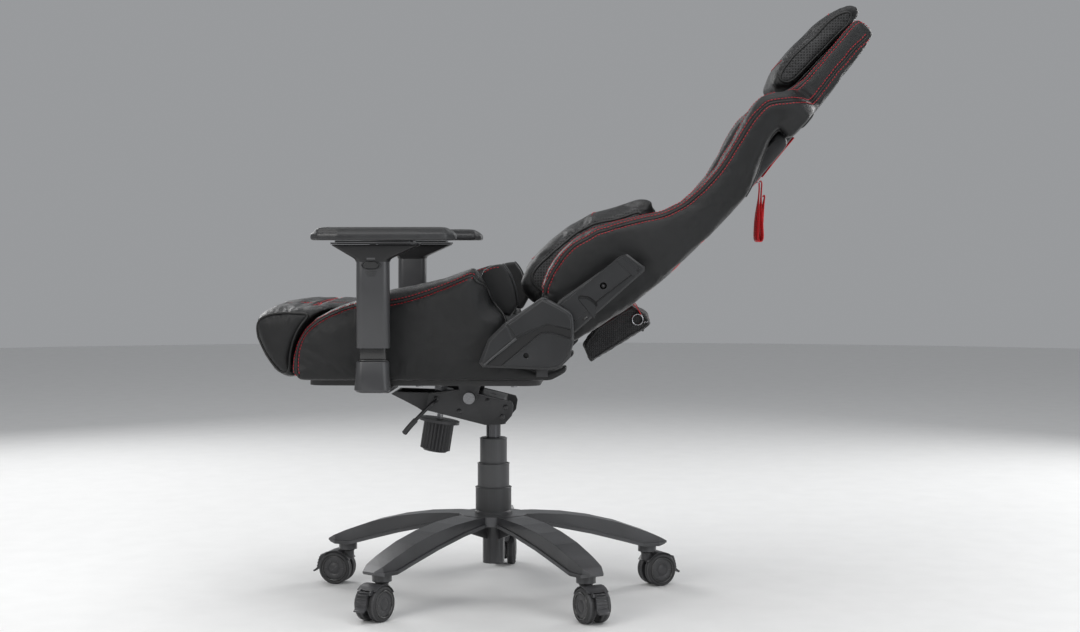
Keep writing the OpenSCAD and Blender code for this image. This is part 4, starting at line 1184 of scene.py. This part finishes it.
for side_name, sgn in (("left", 1), ("right", -1)):
    cx = ARM_X * sgn
    arm = f"arm_{side_name}"
    pad = soft(f"arm_top_{side_name}", arm_pad_field, (253, -301, 682), (357, -42, 710), [M["pad"], M["pad_band"]],
        cell=2.6, rounds=2, mirror=sgn < 0)
    low = np.array([p.center.z for p in pad.data.polygons]) < 0.6966
    pad.data.polygons.foreach_set("material_index", low.astype(np.int32))
    crumple(pad, 0.0002, 0.02, seed=5 + sgn)
    done(pad, f"{arm}_pad", "pad_grey", f"arm_pad_{side_name}", fill=0.95)
    column = post(cx, [(493, 14.2, 28.7, 12.4), (494.2, 15, 29.5, 13.2), (647, 15, 29.5, 13.2),
        (652, 14, 28.5, 12.5)],
        "a", "arm_grey")
    funnel = post(cx, [(646, 15.6, 30.2, 13.4), (650, 16.2, 31.6, 13), (653, 16.6, 35.5, 10, -191.0),
        (672.6, 17, 73.5, 8, -186.3), (674.4, 17, 77, 8, -186), (676, 16.4, 77.4, 8, -186)], "b", "bracket")
    sleeve = join(f"arm_column_{side_name}", [column, funnel], 0.0004, 40)
    done(sleeve, arm, "plastic_grey", f"arm_sleeve_{side_name}")
    bars = []
    for i in range(3):
        y0, y1, z0 = -203 + 1.5 * i, -183 - 1.5 * i, 627.5 - 3.6 * i
        bars.append(slab([(y0, z0), (y1, z0), (y1, z0 + 1.2), (y0, z0 + 1.2)], 318, 320.8, 0.4, sgn, "bracket"))
    bars.append(slab([(-201, 649.5), (-185, 649.5), (-185, 657.5), (-201, 657.5)], 318, 321.6, 0.8, sgn,
        "arm_grey"))
    oval = [(-193 + 16.5 * math.cos(a), 640 + 7.6 * math.sin(a)) for a in np.linspace(0, 2 * math.pi, 40,
        endpoint=False)]
    bars.append(tube("ring", side_pts(320.4 * sgn, oval), 0.0012, M["cover"], closed=True, sides=8))
    done(join(f"arm_button_frame_{side_name}", bars, 0), arm, "plastic_grey")
    inner = post(cx, [(440, 9, 23.5, 5), (488, 9, 23.5, 5), (624.5, 9, 23.5, 5), (625, 8.6, 23.1, 5)],
        f"arm_inner_{side_name}", "black_gloss")
    done(inner, "seat", "steel_black", f"arm_mount_{side_name}")
    cup = post(cx, [(414, 12, 24, 11, -193), (415.5, 15.2, 29, 13, -193), (419, 17.3, 32.2, 14, -193),
        (440, 16.6, 30.4, 13.6, -193), (467.5, 16.0, 28.6, 13.2, -192.5), (469.6, 15.2, 27.6, 12.6, -192.5)], "cup",
        "arm_grey")
    arm_bar = post(sgn * 223, [(412.2, 71, 26, 4), (420, 71, 26, 4)], "bar", "steel_black")
    done(join(f"arm_cup_{side_name}", [cup, arm_bar], 0.0005, 35), "seat", "plastic_grey")
    collar = post(cx, [(470, 13.0, 26.4, 11), (472.2, 13.0, 26.4, 11), (472.6, 12.4, 25.8, 10.6)],
        f"arm_collar_{side_name}", "black_gloss")
    done(collar, "seat", "steel_black")

# ---------------------------------------------------------------- pouch, rings and red webbing
POUCH = [(63, 78), (67, 30), (101, 15), (111.5, 56), (133, 146), (112, 155), (82.5, 149)]
pouch = soft("pouch_bag",
    lambda x, y, z: smax(sd_poly(POUCH, y[0], z[0])[None] + 1.0 - 2.0 * np.exp(-((abs(x) - 30) / 30) ** 2),
    abs(x) - 69, 9),
    (-72, 58, 10), (72, 138, 160), [M["mesh"]], matrix=BACK, cell=3.6, rounds=3)
crumple(pouch, 0.0022, 0.03, seed=71)
ptree = tree_of(pouch)
for sgn, label in ((1, "left"), (-1, "right")):
    loop = [(sgn * 72, p[0], p[1]) for p in smooth_line(inner_loop(POUCH, 0.90, 97, 88), True, 4)]
    rim = soften(snap(ptree, bl(loop + loop[:1]))[0], 2)
    done(tube(f"pouch_binding_{label}", rim, 0.0021, M["mesh_trim"]), "back", "mesh_black")
zip_line = soften(lay_on(ptree, bl([(x, 150, 128) for x in range(-60, 61, 5)]), from_rear)[0], 2)
done(tube("pouch_zip", zip_line, 0.0024, M["mesh_trim"]), "back", "mesh_black")
done(pouch, "back", "mesh_black", "rear_pouch", fill=0.5)


def ribbon(name, path, width, thick, mat, across=(1, 0, 0), wave=0.0):
    """A flat strap along a path in metres, its width along across."""
    p = soften(even(path, 0.003), 2)
    n = len(p)
    a = Vector(across).normalized()
    verts = []
    for i in range(n):
        t = Vector(p[min(i + 1, n - 1)] - p[max(i - 1, 0)]).normalized()
        nn = t.cross(a).normalized()
        c = Vector(p[i]) + nn * wave * math.sin(i * 0.37)
        for w, h in ((-0.5, -0.5), (-0.46, 0.5), (0, 0.62), (0.46, 0.5), (0.5, -0.5), (0, -0.62)):
            verts.append(c + a * width * w + nn * thick * h)
    return mesh_obj(name, verts, ring_faces(n, 6), mat)


# lining strips that close the slits between the pad and the wings
linings = []
for sgn in (1, -1):
    linings.append(ribbon("l", bl([(sgn * 199.6, 56, z) for z in (84, 200, 320, 440, 545)]), 0.010, 0.0014,
        M["leather"]))
    linings.append(ribbon("l", bl([(sgn * 128.8, y, z) for y, z in ((50, 574), (47, 640), (43, 720), (38, 796))]),
        0.010, 0.0014, M["leather"]))
done(join("back_lining", linings, 0), "back", "leather_black")

upper = bl([(0, 80.5, 590), (0, 82.5, 560), (0, 85, 530), (0, 88, 505), (0, 89.2, 493)])
webs = [ribbon("w", upper, 0.020, 0.0015, M["red_web"], across=(0.965, 0.188, -0.182))]
along = [(0, 90.5, 470), (0, 89.2, 433), (0, 90.2, 373), (0, 90.8, 338), (0, 90, 277), (0, 86, 219), (0, 80, 170),
    (0, 77, 158)]
webs.append(ribbon("w", bl([(0, 89.6, 492), (0, 90.0, 482)] + along), 0.020, 0.0014, M["red_web"]))
for sgn in (1, -1):
    lower_end = bl([(sgn * 66, y, z) for y, z in ((59.8, 80), (66, 105), (73, 130), (79.6, 150.6))])
    webs.append(ribbon("w", lower_end, 0.020, 0.0012, M["red_web"], wave=0.0003))
    to_ring = bl([(sgn * x, y, z) for x, y, z in ((70, 79.8, 151), (71, 90, 152), (72.2, 101, 149),
        (72.2, 107.5, 146.5))])
    webs.append(ribbon("w", to_ring, 0.006, 0.0014, M["red_web"]))
    webs.append(tube("w", bl([(sgn * 57, 58.6, 82), (sgn * 75, 58.6, 82)]), 0.0016, M["red_web"], sides=8))
web = join("webbing", webs, 0)
done(web, "back", "webbing_red", "strap_anchor")
rings = []
for sgn in (1, -1):
    pts = bl([(sgn * 72.2, 108 + c, 136 + s) for c, s in circle(10, 48)])
    rings.append(tube("r", pts, 0.0013, M["chrome"], closed=True, sides=12))
    for b in bl([(sgn * 72.2, 121 + 1.5 * i, 141 + 2.4 * i) for i in range(4)]):
        ends = [b + Vector((sgn * 0.0012, 0, h)) for h in (-0.0012, 0.0012)]
        rings.append(tube("r", ends, 0.0011, M["chrome"], sides=8))
STRAP_BAR = (0.5116, 0.7945)      # the wire the red strap hangs from: y, z in metres
bar_pts = [Vector((x * 0.001, *STRAP_BAR)) for x in (-9.9, 9.9)]
for sgn in (1, -1):
    rings.append(tube("r", [Vector((sgn * 0.0092, *STRAP_BAR)), BACK @ Vector((sgn * 0.0092, 0.0905, 0.4785))],
        0.0010, M["chrome"], sides=8))
rings.append(tube("r", bar_pts, 0.0013, M["chrome"], sides=10))
done(join("rings", rings, 0), "back", "bolt_steel")

hang = [(511.4, 797.6), (508.6, 794.5), (509.4, 786), (508.2, 765), (505.4, 735), (503.2, 700), (503, 690),
    (505, 681.8), (508.6, 680.4), (513.0, 683), (514.6, 692), (513.4, 712), (512.4, 740), (512.8, 765),
    (513.8, 786), (514.6, 794.5), (511.8, 797.6)]
tail = [(513.4, 716), (515.2, 735), (517.4, 752), (519.2, 764), (520.4, 770), (517.2, 771.5), (516.4, 766)]
strap = join("strap_loop", [ribbon("w", side_pts(0, smooth_line(path, step=2)), 0.019, thick, M["red_web"])
    for path, thick in ((hang, 0.0017), (tail, 0.0015))], 0)
co, _ = vertex_arrays(strap)
turn = math.radians(26) * step01((0.772 - co[:, 2]) / 0.06)
co[:, 0] *= 1 - 0.2 * step01((co[:, 2] - 0.778) / 0.008)   # narrower where it passes round the bar
TWIST_Y = 0.5085                  # the upright line the strap twists about, metres
dx, dy = co[:, 0], co[:, 1] - TWIST_Y
twisted = [dx * np.cos(turn) - dy * np.sin(turn), TWIST_Y + dx * np.sin(turn) + dy * np.cos(turn), co[:, 2]]
put(strap, np.stack(twisted, axis=1))
done(strap, "strap", "webbing_red", "red_strap")

# ---------------------------------------------------------------- lever, castors and the parts kept as drawn
rod = [(58, -105, 380), (90, -105, 380), (98, -106.5, 378.5), (101.5, -111, 374.5), (102, -120, 366),
    (102, -148, 337), (101.5, -160, 322)]
rod_path = smooth_line(rod, step=2.5)
lever = tube("lift_rod", mm(rod_path), 0.0036, M["steel_black"], sides=14)
grip_path = mm(smooth_line([(102, -138, 347.5), (102, -150, 334.5), (101.5, -162.5, 319.5)], step=0.8))


def grip_radius(u):
    """Full radius with both ends rounded off over the last 8 per cent."""
    end = min(u, 1 - u)
    return 0.0052 * (math.sqrt(max(0.02, 1 - (1 - end * 2 / 0.16) ** 2)) if end < 0.08 else 1)


grip = tube("grip", grip_path, grip_radius, M["black"], sides=16)
done(join("height_rod", [lever, grip], 0), "height_lever", "plastic_black", "height_lever")

handle_line = [(6, 13), (-10, 14), (-70, 34), (-110, 42), (-124, 38), (-126, 26), (-112, 22), (-66, 14), (-14, -8),
    (-2, -14), (12, -9), (15, 2)]


def handle_field(x, y, z):
    y, z = y - 35, z - 492
    blade = smax(sd_poly(handle_line, y[0], z[0])[None], np.abs(x - 311.5) - 6.5 + 2.5 * step01((y + 40) / 40), 3.5)
    hub = smax(np.hypot(y, z) - 15, np.abs(x - 309) - 6, 2.5)
    return smin(blade, hub, 3) + 1.2 * np.exp(-((x - 318) / 2.5) ** 2) * (np.sin(y * 0.9) > 0.2) * (y < -60)


handle = soft("recline_handle", handle_field, (302, -96, 476), (320, 52, 536), [M["black"]], cell=2.0, rounds=1,
    mirror=True)
done(handle, "recline_lever", "plastic_black", "recline_lever")

CASTERS = ((36, 30), (108, 120), (180, 180), (252, -100), (324, -30))     # leg and heading of each, degrees
CASTER_CIRCLE = 0.3135                                                    # metres
AXLE_X, AXLE_Z = 22, 32                                                   # mm, in the castor's own frame
TREAD = [(32.0, 9), (32.1, 12), (32.12, 15), (31.9, 19.6), (31.2, 21.2), (29.4, 23.1), (27.2, 23.3), (25.9, 22.3),
    (25.6, 21.0)]
RIM = [(25.8, 21.4), (25.6, 22.9), (24.6, 23.6), (23.2, 23.5), (22.4, 22.4), (22.2, 21.4)]
HUB = [(22.4, 21.5), (21.6, 21.9), (20, 22.2), (12.5, 22.7), (11.8, 22.0), (10.6, 22.0), (9.9, 22.9), (5, 23.3),
    (0.2, 23.4)]
PEDAL = [(53.2, 55.4), (56.9, 51.0), (58.9, 45.2), (60.4, 39.4), (61.4, 33.2)]


def placed(at, pts):
    return [at @ (Vector(p) * 0.001) for p in pts]


def disc(at, profile, sgn, mat):
    """A turned piece on the wheel's axle: (radius, how far out) pairs in mm."""
    n = 48
    verts = placed(at, [(AXLE_X + c, sgn * y, AXLE_Z + s) for r, y in profile for c, s in circle(r, n)])
    faces = ring_faces(len(profile), n, caps=False)
    return mesh_obj("d", verts, faces if sgn < 0 else flipped(faces), M[mat])


for k, (place, heading) in enumerate(CASTERS, 1):
    a, h = math.radians(place), math.radians(heading)
    at = Matrix.Translation((CASTER_CIRCLE * math.cos(a), CASTER_CIRCLE * math.sin(a), 0)) @ Matrix.Rotation(h,
        4, "Z")
    parts = []
    for sgn in (1, -1):
        parts += [disc(at, TREAD, sgn, "tread"), disc(at, RIM, sgn, "black_gloss"), disc(at, HUB, sgn, "wheel")]
        for c, s in circle(1, 6):
            spoke = placed(at, [(AXLE_X + r * c, sgn * 22.35, AXLE_Z + r * s) for r in (13.2, 19.5)])
            parts.append(tube("d", spoke, 0.0007, M["wheel"], sides=6))
    done(join(f"castor_{k}_trim", parts, 0), f"caster_{k}_wheels", "wheel_grey")
    ribs = []
    for u, v in PEDAL:
        rib = placed(at, [(u + 0.5, y, v + 0.3) for y in (-9.2, 0, 9.2)])
        ribs.append(tube("r", rib, 0.0010, M["caster"], sides=8))
    ribs.append(tube("r", placed(at, [(68.1, y, 24.0) for y in (-10.6, 0, 10.6)]), 0.0018, M["caster"], sides=10))
    done(join(f"castor_{k}_pedal_ribs", ribs, 0), f"caster_{k}_brake", "caster_black")
    collar = placed(at, [(c, s, 66.2) for c, s in circle(11.9, 32)])
    done(tube(f"castor_{k}_collar", collar, 0.0011, M["black_gloss"], closed=True, sides=8), f"caster_{k}",
        "caster_black")

for name, body, r, z in (("lower", "base", 34.5, 207.6), ("middle", "sleeve_mid", 30.5, 253.6),
        ("upper", "sleeve_top", 26.0, 302.0), ("foot", "base", 36.0, 160.0)):
    ring = [Vector((c, s, z)) * 0.001 for c, s in circle(r, 64)]
    done(tube(f"sleeve_lip_{name}", ring, 0.0008, M["sleeve"], closed=True, sides=8), body, "plastic_grey")

rivets = []
for sgn in (1, -1):
    for y, z in ((-104, 384), (-60, 360), (22, 350), (28, 368), (-6, 380)):
        head = [Vector((sgn * (69.6 + d), y, z)) * 0.001 for d in (0, 1.0, 2.0)]
        rivets.append(tube("r", head, lambda u: (0.0055, 0.0050, 0.0032)[round(u * 2)], M["steel_black"], sides=14))
for sgn in (1, -1):
    lip = [(sgn * 70, -118, 393), (sgn * 70, -58, 401), (sgn * 70, 39, 377.6)]
    rivets.append(tube("r", mm(lip), 0.0017, M["steel_black"], sides=8))
done(join("mechanism_rivets", rivets, 0), "mechanism", "steel_black")

KEPT = {"base": ("star_base",), "steel_black": ("gas_tube", "mechanism_housing", "seat_plate", "recliner_plates",
    "back_frame", "arm_cross_slide_left",
        "arm_cross_slide_right"),
    "sleeve": ("cover_lower", "cover_middle", "cover_upper"), "rod": ("gas_piston",),
    "bolt": ("tilt_shaft", "tension_spring", "seat_bolts"),
    "black": ("tension_knob", "arm_turntable_left", "arm_turntable_right"), "board": ("seat_frame",),
    "black_gloss": ("arm_button_left", "arm_button_right"),
    "caster": tuple(f"caster_{k}_{part}" for k in range(1, 6) for part in ("housing", "brake")),
    "wheel": tuple(f"caster_{k}_wheels" for k in range(1, 6))}
for key, names in KEPT.items():
    for n in names:
        me = NODES[n].data
        me.materials.clear()
        me.materials.append(M[key])

# ---------------------------------------------------------------- floor
floor_mat, floor_nt, floor_bsdf = new_mat("floor_pale", (0.80, 0.80, 0.79), 0.6)
patches = texture(floor_nt, coords(floor_nt), "Noise", Scale=14.0, Detail=4.0).outputs["Fac"]
floor_nt.links.new(ramp(floor_nt, patches, (0.79, 0.79, 0.785), (0.82, 0.82, 0.815)),
    floor_bsdf.inputs["Base Color"])
FLOOR_RINGS, FLOOR_SIDES = (0.0, 3.0, 9.0), 48
verts = [(x, y, 0.0) for r in FLOOR_RINGS for x, y in circle(r, FLOOR_SIDES)]
faces = flipped(ring_faces(len(FLOOR_RINGS), FLOOR_SIDES, caps=False))
floor = mesh_obj("floor", verts, faces, floor_mat, smooth=False)
